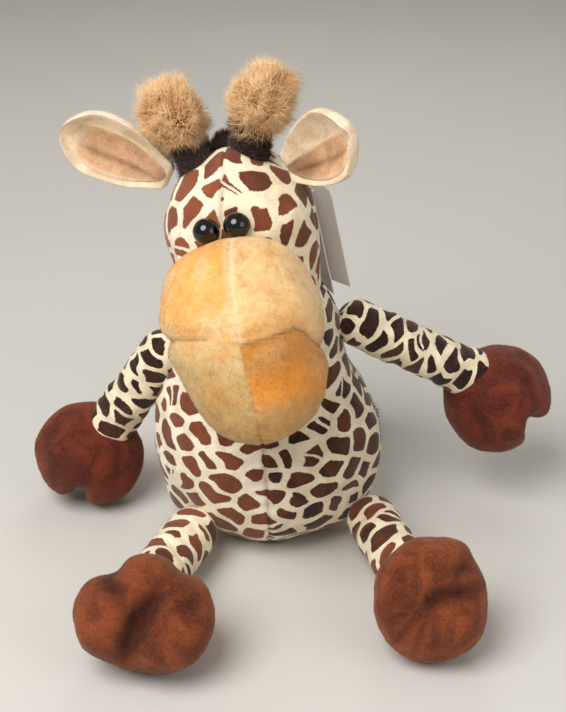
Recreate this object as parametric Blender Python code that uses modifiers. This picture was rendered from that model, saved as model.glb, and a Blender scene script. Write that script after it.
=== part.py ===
"""Seated plush giraffe, built from the separate sewn, stuffed and moulded pieces of the real toy.

Metres, +Z up. The origin is the middle of the seat, on the surface that the toy sits on.
The toy faces -Y, so its own left side is at +X.
"""

import math

import bmesh
import bpy
from mathutils import Matrix, Vector

# Clearances and cuts
GAP = 0.0003
SOCKET_GAP = 0.0006
MERGE_DISTANCE = 0.00002
CUT_OVERRUN = 0.0020
FLOOR_SPAN_SHARE = 8.0
POLE_SHARE = 0.000001
JOINT_MARK_SHARE = 0.8

# Torso: a pear with a spherical top that the head turns on
TORSO_HALF_WIDTH = 0.0560
TORSO_DEPTH_SHARE = 0.83
TORSO_RISE_SHARE = 0.961
BELLY_SWAY = 0.0015
NECK_PIVOT = Vector((-0.0050, 0.0040, 0.1020))
NECK_BALL_RADIUS = 0.0400
TORSO_SIDE_SHARES = (
    (0.79, 0.84),
    (0.895, 0.72),
    (0.965, 0.60),
    (1.00, 0.46),
    (0.985, 0.31),
    (0.91, 0.17),
    (0.70, 0.075),
    (0.42, 0.0),
)

# Head: a column with a round crown, hollowed below to sit on the torso's top
HEAD_LEAN = math.radians(-7.0)
HEAD_RADIUS = 0.0350
NECK_INSET = 0.0020
CROWN_HEIGHT = 0.0598
COLUMN_SHARES = (
    (1.0, 0.72),
    (0.985, 0.42),
    (0.955, 0.16),
)
FACE_TURN = math.radians(-11.5)
CROWN_ROLL = math.radians(-7.5)

# Muzzle: an egg with a pinched mouth line, its upper end laid back against the face
MUZZLE_HALF_WIDTH = 0.0370
MUZZLE_HALF_DEPTH = 0.0350
MUZZLE_HALF_HEIGHT = 0.0453
MUZZLE_SIDE = -0.0055
MUZZLE_STAND_OFF = 0.0210
MUZZLE_LIFT = 0.0250
MUZZLE_LAY_BACK = math.radians(-20.0)
MUZZLE_SIDE_POWER = 0.82
MOUTH_HEIGHT_SHARE = 0.02
MOUTH_PINCH_SHARE = 0.085
MOUTH_SPREAD_SHARE = 0.13

# Safety eyes, with a post through the plush and a lock washer behind it
EYE_RADIUS = 0.0061
EYE_RIM = 0.0012
EYE_SPREAD = math.radians(11.8)
EYE_RIGHT_HEIGHT = 0.0690
EYE_LEFT_HEIGHT = 0.0715
EYE_SEAT_DEPTH = 0.0022
EYE_POST_RADIUS = 0.0018
EYE_POST_LENGTH = 0.0140
WASHER_RADIUS = 0.0054
WASHER_THICKNESS = 0.0012
WASHER_DEPTH = 0.0060

# Ears
EAR_LENGTH = 0.0545
EAR_HALF_WIDTH = 0.0155
EAR_THICKNESS = 0.0056
EAR_CUP_DEPTH = 0.0075
EAR_WIDTH_SHARES = (0.42, 0.66, 0.88, 1.01, 1.05, 0.98, 0.70)
EAR_TIP_ROUND_SHARE = 0.13
EAR_CUP_RISE_SHARE = 2.5
EAR_LEFT_TILT = math.radians(52.0)
EAR_LEFT_FORWARD = math.radians(8.0)
EAR_LEFT_RISE = math.radians(36.0)
EAR_LEFT_SWEEP = math.radians(48.0)
EAR_LEFT_ROLL = math.radians(-20.0)
EAR_RIGHT_TILT = math.radians(48.0)
EAR_RIGHT_FORWARD = math.radians(-5.0)
EAR_RIGHT_RISE = math.radians(32.0)
EAR_RIGHT_SWEEP = math.radians(8.0)
EAR_RIGHT_ROLL = 0.0
LINING_SHARE = 0.78
LINING_START_SHARE = 0.16
LINING_THICKNESS = 0.0011

# Horns and their fur tufts
HORN_SPREAD = math.radians(21.0)
HORN_RADIUS = 0.0088
HORN_HEIGHT = 0.0165
HORN_TOP_SHARE = 0.88
HORN_FILLET_SHARE = 2.0
TUFT_LEAN = math.radians(12.0)
TUFT_RADIUS = 0.0148
TUFT_HEIGHT = 0.0300
TUFT_OVERLAP = 0.0070
TUFT_SIDE_SHARES = (
    (0.0, 1.0),
    (0.46, 0.965),
    (0.80, 0.84),
    (1.0, 0.62),
    (0.97, 0.40),
    (0.86, 0.14),
    (0.74, 0.0),
    (0.0, 0.0),
)

# Mane strip from between the horns down the back of the neck
MANE_HALF_THICKNESS = 0.0038
MANE_HEIGHT = 0.0085
MANE_FRONT_ANGLE = math.radians(-22.0)
MANE_LOW_HEIGHT = 0.0320
MANE_ROOT_SHARE = 0.93
MANE_START_SHARE = 0.24
MANE_RISE_SHARE = 4.0
MANE_TAPER_SHARE = 0.60

# Arms
SHOULDER_LEFT = Vector((0.0440, 0.0070, 0.1062))
SHOULDER_RIGHT = Vector((-0.0520, 0.0060, 0.0905))
ARM_ROOT_RADIUS = 0.0116
SLEEVE_RADIUS = 0.0120
SLEEVE_SHARES = (
    (0.985, 0.75),
    (0.97, 0.50),
    (0.98, 0.25),
)
FORE_HOOF_LEFT_AT = Vector((0.1155, 0.0210, 0.0568))
FORE_HOOF_RIGHT_AT = Vector((-0.0925, 0.0150, 0.0277))
FORE_HOOF_HALF = Vector((0.0272, 0.0248, 0.0258))
ARM_LEFT_DROOP = 0.0070
ARM_RIGHT_DROOP = 0.0000
FORE_HOOF_LEFT_POINTS = Vector((0.73, 0.10, -0.68))
FORE_HOOF_RIGHT_POINTS = Vector((-0.40, 0.05, -0.91))
FORE_HOOF_SIDE = Vector((0.93, -0.37, 0.0))

# Legs
HIP_LEFT = Vector((0.0510, -0.0310, 0.0170))
HIP_RIGHT = Vector((-0.0375, -0.0415, 0.0170))
LEG_ROOT_RADIUS = 0.0125
LEG_SLEEVE_RADIUS = 0.0130
HIND_HOOF_LEFT_AT = Vector((0.0720, -0.1055, 0.0262))
HIND_HOOF_RIGHT_AT = Vector((-0.0525, -0.1165, 0.0262))
LEG_LEFT_AIM = Vector((0.0715, -0.0970, 0.0185))
LEG_RIGHT_AIM = Vector((-0.0585, -0.0980, 0.0185))
HIND_HOOF_LEFT_HALF = Vector((0.0250, 0.0272, 0.0230))
HIND_HOOF_RIGHT_HALF = Vector((0.0285, 0.0272, 0.0230))
HIND_HOOF_LEFT_POINTS = Vector((0.16, -0.88, 0.40))
HIND_HOOF_RIGHT_POINTS = Vector((-0.10, -0.88, 0.42))
CLEFT_DEPTH_SHARE = 0.30
CLEFT_WIDTH_SHARE = 0.17
TOE_SWELL_SHARE = 0.06
TOE_WIDTH_SHARE = 0.33

# Tail
TAIL_RADIUS = 0.0042
TAIL_ROOT_RADIUS = 0.0048
TAIL_ROUTE = (
    Vector((0.0020, 0.0480, 0.0240)),
    Vector((0.0060, 0.0570, 0.0190)),
    Vector((0.0140, 0.0660, 0.0120)),
    Vector((0.0240, 0.0740, 0.0080)),
    Vector((0.0360, 0.0800, 0.0077)),
)
TAIL_TUFT_HALF = Vector((0.0070, 0.0064, 0.0150))
TAIL_TUFT_OVERLAP = 0.0040

# Swing card and its loop, behind the left ear
CARD_WIDTH = 0.0310
CARD_HEIGHT = 0.0550
CARD_LEAF = 0.0005
CARD_CORNER = 0.0060
CARD_OPENING = math.radians(18.0)
CARD_STAND_OFF = 0.0050
CARD_BEARING = math.radians(60.0)
CARD_SPINE_SIDE = 0.0238
CARD_TOP_HEIGHT = 0.0650
CARD_FOOT_GAP = 0.0053
CARD_HOLE_RADIUS = 0.0012
CARD_HOLE_DROP = 0.0050
CARD_HOLE_ALONG = 0.0167
LOOP_WIRE_RADIUS = 0.0005
LOOP_RADIUS = 0.0100


def lay_out_collections():
    """Clear the scene and make the collections for the parts and the cutters."""
    for old in list(bpy.data.objects):
        bpy.data.objects.remove(old, do_unlink=True)
    groups = []
    for name in ("plush_giraffe", "cutters"):
        group = bpy.data.collections.new(name)
        bpy.context.scene.collection.children.link(group)
        groups.append(group)
    return groups


PARTS, CUTTERS = lay_out_collections()


def colour(red, green, blue):
    """Linear colour from the usual 0 to 255 display values."""
    linear = []
    for value in (red, green, blue):
        share = value / 255.0
        linear.append(share / 12.92 if share <= 0.04045 else ((share + 0.055) / 1.055) ** 2.4)
    return (*linear, 1.0)


def make_material(name, base, roughness, metallic=0.0):
    material = bpy.data.materials.new(name)
    material.use_nodes = True
    shader = material.node_tree.nodes["Principled BSDF"]
    shader.inputs["Base Color"].default_value = base
    shader.inputs["Roughness"].default_value = roughness
    shader.inputs["Metallic"].default_value = metallic
    material.diffuse_color = base
    return material


def new_piece(name, mesh, group=PARTS):
    piece = bpy.data.objects.new(name, mesh)
    group.objects.link(piece)
    if group is CUTTERS:
        piece.hide_render = True
        piece.display_type = "WIRE"
    return piece


def finish(piece, base, roughness, metallic=0.0):
    """Give a finished piece its own material and smooth shading."""
    piece.data.materials.clear()
    piece.data.materials.append(make_material(piece.name, base, roughness, metallic))
    piece.data.shade_smooth()
    return piece


def evaluated_mesh(piece):
    bpy.context.view_layer.update()
    graph = bpy.context.evaluated_depsgraph_get()
    return bpy.data.meshes.new_from_object(piece.evaluated_get(graph))


def settle(piece):
    """Apply a piece's modifiers to its mesh, keeping its place."""
    mesh = evaluated_mesh(piece)
    piece.modifiers.clear()
    piece.data = mesh
    return piece


def carry(name, place, pieces):
    """An empty on a joint's axis that carries the pieces which move there."""
    mark = new_piece(name, None)
    mark.empty_display_size = NECK_BALL_RADIUS * JOINT_MARK_SHARE
    mark.location = place
    bpy.context.view_layer.update()
    for piece in pieces:
        world = piece.matrix_world.copy()
        piece.parent = mark
        piece.matrix_world = world
    return mark


def grown(piece, clearance=GAP):
    """A cutter that is the finished piece, grown by a clearance along its normals."""
    cutter = new_piece(piece.name + "_cutter", evaluated_mesh(piece), CUTTERS)
    cutter.matrix_world = piece.matrix_world
    swell = cutter.modifiers.new("clearance", "DISPLACE")
    swell.mid_level = 0.0
    swell.strength = clearance
    return cutter


def cut(piece, *cutters):
    for cutter in cutters:
        step = piece.modifiers.new("cut by " + cutter.name, "BOOLEAN")
        step.operation = "DIFFERENCE"
        step.solver = "EXACT"
        step.object = cutter
    return piece


def join(piece, addition):
    step = piece.modifiers.new("joined to " + addition.name, "BOOLEAN")
    step.operation = "UNION"
    step.solver = "EXACT"
    step.object = addition
    return piece


def turned(name, profile, segments, group=PARTS):
    """A solid turned about Z from (radius, height) points that run from its top to its bottom.

    A profile that ends where it began is a closed ring round the axis.
    """
    mesh = bpy.data.meshes.new(name)
    closed = profile[0] == profile[-1]
    points = [(radius, 0.0, height) for radius, height in profile]
    if closed:
        points.pop()
    edges = [(index, index + 1) for index in range(len(points) - 1)]
    if closed:
        edges.append((len(points) - 1, 0))
    mesh.from_pydata(points, edges, [])
    piece = new_piece(name, mesh, group)
    turn = piece.modifiers.new("turn", "SCREW")
    turn.steps = segments
    turn.render_steps = segments
    turn.use_merge_vertices = True
    turn.merge_threshold = MERGE_DISTANCE
    return settle(piece)


def ball(name, half, segments, rings, reshape=None, group=PARTS):
    """A ball with the given half sizes, whose unit directions may be reshaped first."""
    mesh = bpy.data.meshes.new(name)
    shape = bmesh.new()
    bmesh.ops.create_uvsphere(shape, u_segments=segments, v_segments=rings, radius=1.0)
    for vertex in shape.verts:
        place = reshape(vertex.co.copy()) if reshape else vertex.co.copy()
        vertex.co = Vector((place.x * half.x, place.y * half.y, place.z * half.z))
    shape.to_mesh(mesh)
    shape.free()
    return new_piece(name, mesh, group)


def arc(centre_radius, centre_height, radius, start, end, steps):
    """Points on an arc of a profile, with angles measured from straight up."""
    points = []
    for step in range(steps + 1):
        angle = start + (end - start) * step / steps
        points.append((centre_radius + radius * math.sin(angle), centre_height + radius * math.cos(angle)))
    return points


def frame_along(origin, points_to, side_hint):
    """A frame at the origin whose Z runs along a direction and whose X stays near a hint."""
    z_axis = points_to.normalized()
    y_axis = z_axis.cross(side_hint).normalized()
    x_axis = y_axis.cross(z_axis)
    rotation = Matrix((x_axis, y_axis, z_axis)).transposed().to_4x4()
    return Matrix.Translation(origin) @ rotation


def smooth_step(share):
    share = min(1.0, max(0.0, share))
    return share * share * (3.0 - 2.0 * share)


HEAD_FRAME = Matrix.Translation(NECK_PIVOT) @ Matrix.Rotation(HEAD_LEAN, 4, "Y")
FACE_FRAME = HEAD_FRAME @ Matrix.Rotation(FACE_TURN, 4, "Z")
CROWN_FRAME = FACE_FRAME @ Matrix.Translation((0.0, 0.0, CROWN_HEIGHT)) @ Matrix.Rotation(CROWN_ROLL, 4, "Y")


def make_torso():
    profile = arc(0.0, NECK_PIVOT.z, NECK_BALL_RADIUS, 0.0, math.radians(94.0), 9)
    for width_share, height_share in TORSO_SIDE_SHARES:
        profile.append((TORSO_HALF_WIDTH * width_share, NECK_PIVOT.z * height_share))
    profile.append((0.0, 0.0))
    profile[0] = (0.0, profile[0][1])
    torso = turned("torso", profile, 36)
    for vertex in torso.data.vertices:
        rise = smooth_step(vertex.co.z / (NECK_PIVOT.z * TORSO_RISE_SHARE))
        depth = TORSO_DEPTH_SHARE + (1.0 - TORSO_DEPTH_SHARE) * rise
        belly = math.sin(math.pi * min(1.0, vertex.co.z / NECK_PIVOT.z))
        vertex.co.x += NECK_PIVOT.x * rise + BELLY_SWAY * belly
        vertex.co.y = vertex.co.y * depth + NECK_PIVOT.y * rise
    roots = (
        ("shoulder_left", SHOULDER_LEFT, ARM_ROOT_RADIUS),
        ("shoulder_right", SHOULDER_RIGHT, ARM_ROOT_RADIUS),
        ("hip_left", HIP_LEFT, LEG_ROOT_RADIUS),
        ("hip_right", HIP_RIGHT, LEG_ROOT_RADIUS),
        ("tail_root", TAIL_ROUTE[0], TAIL_ROOT_RADIUS),
    )
    for name, place, radius in roots:
        size = radius + SOCKET_GAP
        socket = ball(name + "_socket", Vector((size, size, size)), 20, 12, group=CUTTERS)
        socket.location = place
        cut(torso, socket)
    return finish(torso, colour(232, 216, 180), 0.95)


def head_profile():
    """The head's outline from the crown down its side and back up the neck socket."""
    socket_radius = NECK_BALL_RADIUS + SOCKET_GAP
    rim_angle = math.asin((HEAD_RADIUS - NECK_INSET) / socket_radius)
    rim_height = socket_radius * math.cos(rim_angle)
    profile = arc(0.0, CROWN_HEIGHT, HEAD_RADIUS, 0.0, math.radians(90.0), 9)
    for width_share, height_share in COLUMN_SHARES:
        height = rim_height + (CROWN_HEIGHT - rim_height) * height_share
        profile.append((HEAD_RADIUS * width_share, height))
    profile += arc(0.0, 0.0, socket_radius, rim_angle, 0.0, 6)
    profile[0] = (0.0, profile[0][1])
    profile[-1] = (0.0, profile[-1][1])
    return profile


def eye_place(side, height):
    """Where an eye's flat back meets the face, and the frame whose Z points out of it."""
    angle = side * EYE_SPREAD
    seat = HEAD_RADIUS * math.cos(angle) - EYE_SEAT_DEPTH
    place = Vector((HEAD_RADIUS * math.sin(angle), -seat, height))
    return FACE_FRAME @ Matrix.Translation(place) @ Matrix.Rotation(math.radians(90.0), 4, "X")


def make_head():
    head = turned("head", head_profile(), 36)
    head.matrix_world = HEAD_FRAME
    return finish(head, colour(232, 216, 180), 0.95)


def seat_eyes(head):
    """Cut each eye's recess, post hole and washer pocket into the head."""
    for side, height in ((1.0, EYE_LEFT_HEIGHT), (-1.0, EYE_RIGHT_HEIGHT)):
        recess = EYE_RADIUS + GAP
        hole = EYE_POST_RADIUS + GAP
        pocket = WASHER_RADIUS + GAP
        front = EYE_SEAT_DEPTH + CUT_OVERRUN
        pocket_front = -WASHER_DEPTH + GAP
        pocket_back = -EYE_POST_LENGTH - GAP
        profile = [
            (0.0, front),
            (recess, front),
            (recess, -GAP),
            (hole, -GAP),
            (hole, pocket_front),
            (pocket, pocket_front),
            (pocket, pocket_back),
            (0.0, pocket_back),
        ]
        cutter = turned("eye_seat", profile, 20, CUTTERS)
        cutter.matrix_world = eye_place(side, height)
        cut(head, cutter)


def make_eye(side, suffix, height):
    dome = arc(0.0, EYE_RIM, EYE_RADIUS, 0.0, math.radians(90.0), 7)
    dome[0] = (0.0, dome[0][1])
    profile = dome + [
        (EYE_RADIUS, 0.0),
        (EYE_POST_RADIUS, 0.0),
        (EYE_POST_RADIUS, -EYE_POST_LENGTH),
        (0.0, -EYE_POST_LENGTH),
    ]
    eye = turned("eye_" + suffix, profile, 20)
    eye.matrix_world = eye_place(side, height)
    finish(eye, colour(12, 10, 10), 0.08)
    bore = EYE_POST_RADIUS + GAP
    back = -WASHER_DEPTH - WASHER_THICKNESS
    ring = [
        (bore, -WASHER_DEPTH),
        (WASHER_RADIUS, -WASHER_DEPTH),
        (WASHER_RADIUS, back),
        (bore, back),
        (bore, -WASHER_DEPTH),
    ]
    washer = turned("eye_washer_" + suffix, ring, 20)
    washer.matrix_world = eye_place(side, height)
    finish(washer, colour(225, 225, 220), 0.5)
    return eye, washer


def neck_core():
    """A cutter that fills the running gap between the head and the torso, out to the neck's side."""
    radius = HEAD_RADIUS - NECK_INSET + GAP
    top = NECK_BALL_RADIUS + CUT_OVERRUN
    core = turned("neck_core", [(0.0, top), (radius, top), (radius, 0.0), (0.0, 0.0)], 36, CUTTERS)
    core.matrix_world = HEAD_FRAME
    return core


def muzzle_shape(direction):
    """Fuller than an egg, drawn in along the mouth line."""
    height = direction.z
    level = math.hypot(direction.x, direction.y)
    if level < POLE_SHARE:
        return direction
    width = level ** MUZZLE_SIDE_POWER
    offset = (height - MOUTH_HEIGHT_SHARE) / MOUTH_SPREAD_SHARE
    width *= 1.0 - MOUTH_PINCH_SHARE * math.exp(-offset * offset)
    return Vector((direction.x / level * width, direction.y / level * width, height))


def make_muzzle(cutters):
    half = Vector((MUZZLE_HALF_WIDTH, MUZZLE_HALF_DEPTH, MUZZLE_HALF_HEIGHT))
    muzzle = ball("muzzle", half, 32, 20, muzzle_shape)
    tilt = Matrix.Rotation(HEAD_LEAN, 4, "Y") @ Matrix.Rotation(MUZZLE_LAY_BACK, 4, "X")
    place = NECK_PIVOT + Vector((MUZZLE_SIDE, -HEAD_RADIUS - MUZZLE_STAND_OFF, MUZZLE_LIFT))
    muzzle.matrix_world = Matrix.Translation(place) @ tilt
    cut(muzzle, *cutters)
    return finish(muzzle, colour(236, 178, 106), 0.95)


def ear_frame(side, tilt, forward, rise, sweep, roll):
    """The ear's root on the crown, with X along the ear and -Y out of its cupped front."""
    root = Vector((side * math.sin(tilt), -math.sin(forward), math.cos(tilt)))
    root = root.normalized() * (HEAD_RADIUS + SOCKET_GAP + EAR_THICKNESS / 2)
    reach = Vector((side * math.cos(rise), -math.sin(sweep), math.sin(rise))).normalized()
    across = Vector((0.0, -1.0, 0.0)).cross(reach) * side
    z_axis = across.normalized() * side
    y_axis = z_axis.cross(reach)
    rotation = Matrix((reach, y_axis, z_axis)).transposed().to_4x4() @ Matrix.Rotation(roll, 4, "X")
    return Matrix.Translation(CROWN_FRAME @ root) @ FACE_FRAME.to_3x3().to_4x4() @ rotation


def ear_sheet(name, share, offset, thickness, start_share):
    """A cupped leaf of plush, rounded at its tip, lying along +X with its root at the origin."""
    columns = len(EAR_WIDTH_SHARES) - 1
    rows = 4
    mesh = bpy.data.meshes.new(name)
    shape = bmesh.new()
    bmesh.ops.create_grid(shape, x_segments=columns, y_segments=rows, size=0.5)
    for vertex in shape.verts:
        along = vertex.co.x + 0.5
        across = vertex.co.y * 2.0
        place = round(along * columns)
        width = EAR_HALF_WIDTH * EAR_WIDTH_SHARES[place]
        reach = start_share + (1.0 - start_share) * along
        reach = 0.5 + (reach - 0.5) * (share if along > 0.5 else 1.0)
        reach -= EAR_TIP_ROUND_SHARE * share * across * across * along ** 3
        cup = EAR_CUP_DEPTH * smooth_step(along * EAR_CUP_RISE_SHARE) * (1.0 - across * across * share)
        vertex.co = Vector((EAR_LENGTH * reach, cup + offset, width * share * across))
    shape.to_mesh(mesh)
    shape.free()
    sheet = new_piece(name, mesh)
    skin = sheet.modifiers.new("thickness", "SOLIDIFY")
    skin.thickness = thickness
    skin.offset = 0.0
    round_off = sheet.modifiers.new("round", "SUBSURF")
    round_off.levels = 1
    round_off.render_levels = 1
    return settle(sheet)


def make_ear(side, suffix, angles):
    """An ear whose gathered root is round about its hinge, with its tan lining."""
    ear = ear_sheet("ear_" + suffix, 1.0, 0.0, EAR_THICKNESS, 0.0)
    ear.matrix_world = ear_frame(side, *angles)
    gathered = Vector((EAR_THICKNESS / 2, EAR_THICKNESS / 2, EAR_HALF_WIDTH * EAR_WIDTH_SHARES[0]))
    root = ball("ear_gather_" + suffix, gathered, 16, 10, group=CUTTERS)
    root.matrix_world = ear_frame(side, *angles)
    join(ear, root)
    finish(ear, colour(238, 226, 200), 0.95)
    lift = -(EAR_THICKNESS + LINING_THICKNESS) / 2 - GAP - GAP
    lining = ear_sheet("ear_lining_" + suffix, LINING_SHARE, lift, LINING_THICKNESS, LINING_START_SHARE)
    lining.matrix_world = ear_frame(side, *angles)
    finish(lining, colour(205, 155, 105), 0.95)
    return ear, lining


def make_horn(side, suffix, head_cutter):
    tilt = Matrix.Rotation(side * HORN_SPREAD, 4, "Y")
    base = HEAD_RADIUS * math.cos(math.asin(HORN_RADIUS / HEAD_RADIUS)) - CUT_OVERRUN
    frame = CROWN_FRAME @ tilt @ Matrix.Translation((0.0, 0.0, base))
    top = HORN_HEIGHT + HEAD_RADIUS - base
    neck = HORN_RADIUS * HORN_TOP_SHARE
    fillet = HORN_RADIUS * (1.0 - HORN_TOP_SHARE) * HORN_FILLET_SHARE
    profile = [
        (0.0, top),
        (neck - fillet, top),
        (neck, top - fillet),
        (HORN_RADIUS, CUT_OVERRUN),
        (HORN_RADIUS, 0.0),
        (0.0, 0.0),
    ]
    horn = turned("horn_" + suffix, profile, 20)
    horn.matrix_world = frame
    cut(horn, head_cutter)
    finish(horn, colour(60, 26, 18), 0.95)
    fur = [(TUFT_RADIUS * width, TUFT_HEIGHT * height) for width, height in TUFT_SIDE_SHARES]
    tuft = turned("horn_tuft_" + suffix, fur, 20)
    foot = Matrix.Translation((0.0, 0.0, top - TUFT_OVERLAP)) @ Matrix.Rotation(TUFT_LEAN, 4, "Y")
    tuft.matrix_world = frame @ foot
    cut(tuft, grown(horn))
    finish(tuft, colour(222, 172, 106), 1.0)
    return horn, tuft


def make_mane(head_cutter):
    """A strip that stands off the head's back, from between the horns down to the nape."""
    outer = HEAD_RADIUS + MANE_HEIGHT
    inner = HEAD_RADIUS - CUT_OVERRUN
    low = MANE_LOW_HEIGHT - CROWN_HEIGHT
    steps = 10
    outline = []
    for step in range(steps + 1):
        angle = MANE_FRONT_ANGLE + (math.radians(90.0) - MANE_FRONT_ANGLE) * step / steps
        reach = inner + (outer - inner) * smooth_step(MANE_START_SHARE + step / steps * MANE_RISE_SHARE)
        outline.append((reach * math.sin(angle), reach * math.cos(angle)))
    outline.append((outer, low / 2))
    outline.append((inner + (outer - inner) * MANE_TAPER_SHARE, low))
    outline.append((inner * MANE_ROOT_SHARE, low))
    for step in range(steps, -1, -1):
        angle = MANE_FRONT_ANGLE + (math.radians(90.0) - MANE_FRONT_ANGLE) * step / steps
        outline.append((inner * MANE_ROOT_SHARE * math.sin(angle), inner * MANE_ROOT_SHARE * math.cos(angle)))
    curve = bpy.data.curves.new("mane_outline", "CURVE")
    curve.dimensions = "2D"
    curve.fill_mode = "BOTH"
    curve.extrude = MANE_HALF_THICKNESS
    spline = curve.splines.new("POLY")
    spline.points.add(len(outline) - 1)
    for point, (across, up) in zip(spline.points, outline):
        point.co = (across, up, 0.0, 1.0)
    spline.use_cyclic_u = True
    guide = new_piece("mane_guide", curve, CUTTERS)
    upright = Matrix.Rotation(math.radians(90.0), 4, "X")
    backward = Matrix.Rotation(math.radians(90.0), 4, "Z")
    mane = solid_from_curve("mane", guide)
    mane.matrix_world = CROWN_FRAME @ backward @ upright
    cut(mane, head_cutter)
    return finish(mane, colour(38, 24, 20), 1.0)


def solid_from_curve(name, guide):
    """A closed mesh from a curve object, which is then removed."""
    mesh = evaluated_mesh(guide)
    shape = bmesh.new()
    shape.from_mesh(mesh)
    bmesh.ops.remove_doubles(shape, verts=shape.verts, dist=MERGE_DISTANCE)
    bmesh.ops.recalc_face_normals(shape, faces=shape.faces)
    shape.to_mesh(mesh)
    shape.free()
    piece = new_piece(name, mesh)
    piece.matrix_world = guide.matrix_world.copy()
    bpy.data.objects.remove(guide, do_unlink=True)
    return piece


def limb(name, root, hoof_at, droop, root_radius, sleeve_radius):
    """A stuffed sleeve from its root ball to the middle of its hoof."""
    aim = hoof_at + Vector((0.0, 0.0, droop))
    length = (aim - root).length
    far = length - sleeve_radius
    profile = arc(0.0, far, sleeve_radius, 0.0, math.radians(90.0), 3)
    profile[0] = (0.0, profile[0][1])
    for width_share, length_share in SLEEVE_SHARES:
        profile.append((sleeve_radius * width_share, far * length_share))
    profile += arc(0.0, 0.0, root_radius, math.radians(80.0), math.radians(180.0), 5)
    profile[-1] = (0.0, profile[-1][1])
    sleeve = turned(name, profile, 22)
    sleeve.matrix_world = frame_along(root, aim - root, Vector((1.0, 0.0, 0.0)))
    return sleeve


def cloven(direction):
    """Pinch a ball in along a line over its +Z end, which parts the two toes."""
    across = direction.x / CLEFT_WIDTH_SHARE
    forward = max(0.0, direction.z)
    pinch = CLEFT_DEPTH_SHARE * math.exp(-across * across) * forward ** 2
    swell = 1.0 + TOE_SWELL_SHARE * forward * min(1.0, abs(direction.x) / TOE_WIDTH_SHARE)
    return direction * (1.0 - pinch) * swell


def make_hoof(name, place, points_to, half, side_hint):
    hoof = ball(name, half, 24, 14, cloven)
    hoof.matrix_world = frame_along(place, points_to, side_hint)
    return finish(hoof, colour(104, 46, 26), 0.95)


def floor_cutter():
    """A block below the floor that flattens whatever rests on it."""
    span = TORSO_HALF_WIDTH * FLOOR_SPAN_SHARE
    mesh = bpy.data.meshes.new("floor")
    shape = bmesh.new()
    bmesh.ops.create_cube(shape, size=span)
    shape.to_mesh(mesh)
    shape.free()
    block = new_piece("floor", mesh, CUTTERS)
    block.location = (0.0, 0.0, -span / 2)
    return block


def make_limbs(torso_cutter, floor):
    """The arms and legs with their hooves, each pair hung on its own shoulder or hip."""
    arms = (
        ("left", SHOULDER_LEFT, FORE_HOOF_LEFT_AT, ARM_LEFT_DROOP, FORE_HOOF_LEFT_POINTS),
        ("right", SHOULDER_RIGHT, FORE_HOOF_RIGHT_AT, ARM_RIGHT_DROOP, FORE_HOOF_RIGHT_POINTS),
    )
    for suffix, root, place, droop, points_to in arms:
        hoof = make_hoof("fore_hoof_" + suffix, place, points_to, FORE_HOOF_HALF, FORE_HOOF_SIDE)
        sleeve = limb("arm_" + suffix, root, place, droop, ARM_ROOT_RADIUS, SLEEVE_RADIUS)
        cut(sleeve, grown(hoof), torso_cutter)
        finish(sleeve, colour(226, 208, 172), 0.95)
        carry("shoulder_" + suffix, root, (sleeve, hoof))
    legs = (
        ("left", HIP_LEFT, LEG_LEFT_AIM, HIND_HOOF_LEFT_AT, HIND_HOOF_LEFT_HALF, HIND_HOOF_LEFT_POINTS),
        ("right", HIP_RIGHT, LEG_RIGHT_AIM, HIND_HOOF_RIGHT_AT, HIND_HOOF_RIGHT_HALF, HIND_HOOF_RIGHT_POINTS),
    )
    for suffix, root, aim, place, half, points_to in legs:
        hoof = make_hoof("hind_hoof_" + suffix, place, points_to, half, Vector((1.0, 0.0, 0.0)))
        cut(hoof, floor)
        sleeve = limb("leg_" + suffix, root, aim, 0.0, LEG_ROOT_RADIUS, LEG_SLEEVE_RADIUS)
        cut(sleeve, grown(hoof), torso_cutter)
        finish(sleeve, colour(226, 208, 172), 0.95)
        carry("hip_" + suffix, root, (sleeve, hoof))


def make_tail():
    """A thin plush cord that lies behind the toy, with a dark tuft on its end."""
    curve = bpy.data.curves.new("tail_route", "CURVE")
    curve.dimensions = "3D"
    curve.bevel_depth = TAIL_RADIUS
    curve.bevel_resolution = 2
    curve.use_fill_caps = True
    spline = curve.splines.new("POLY")
    spline.points.add(len(TAIL_ROUTE) - 1)
    for point, place in zip(spline.points, TAIL_ROUTE):
        point.co = (*place, 1.0)
    tail = solid_from_curve("tail", new_piece("tail_guide", curve, CUTTERS))
    half = Vector((TAIL_ROOT_RADIUS, TAIL_ROOT_RADIUS, TAIL_ROOT_RADIUS))
    root = ball("tail_root_ball", half, 20, 12, group=CUTTERS)
    root.location = TAIL_ROUTE[0]
    join(tail, root)
    end = TAIL_ROUTE[-1]
    along = (end - TAIL_ROUTE[-2]).normalized()
    tuft = ball("tail_tuft", TAIL_TUFT_HALF, 16, 10)
    middle = end + along * (TAIL_TUFT_HALF.z - TAIL_TUFT_OVERLAP)
    tuft.matrix_world = frame_along(middle, along, Vector((0.0, 0.0, 1.0)))
    cut(tuft, grown(tail))
    finish(tail, colour(226, 208, 172), 0.95)
    finish(tuft, colour(38, 24, 20), 1.0)
    carry("tail_root", TAIL_ROUTE[0], (tail, tuft))


def card_frame():
    """The card's frame: origin at the top of its spine, X along the card, Y away from the head.

    It tilts so that its foot hangs clear of the torso's top.
    """
    bearing = Matrix.Rotation(-CARD_BEARING, 4, "Z")
    stand = HEAD_RADIUS + CARD_STAND_OFF
    tilt = math.asin((NECK_BALL_RADIUS + CARD_FOOT_GAP - stand) / CARD_HEIGHT)
    place = Matrix.Translation((-CARD_SPINE_SIDE, stand, CARD_TOP_HEIGHT))
    return HEAD_FRAME @ bearing @ place @ Matrix.Rotation(tilt, 4, "X")


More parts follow.
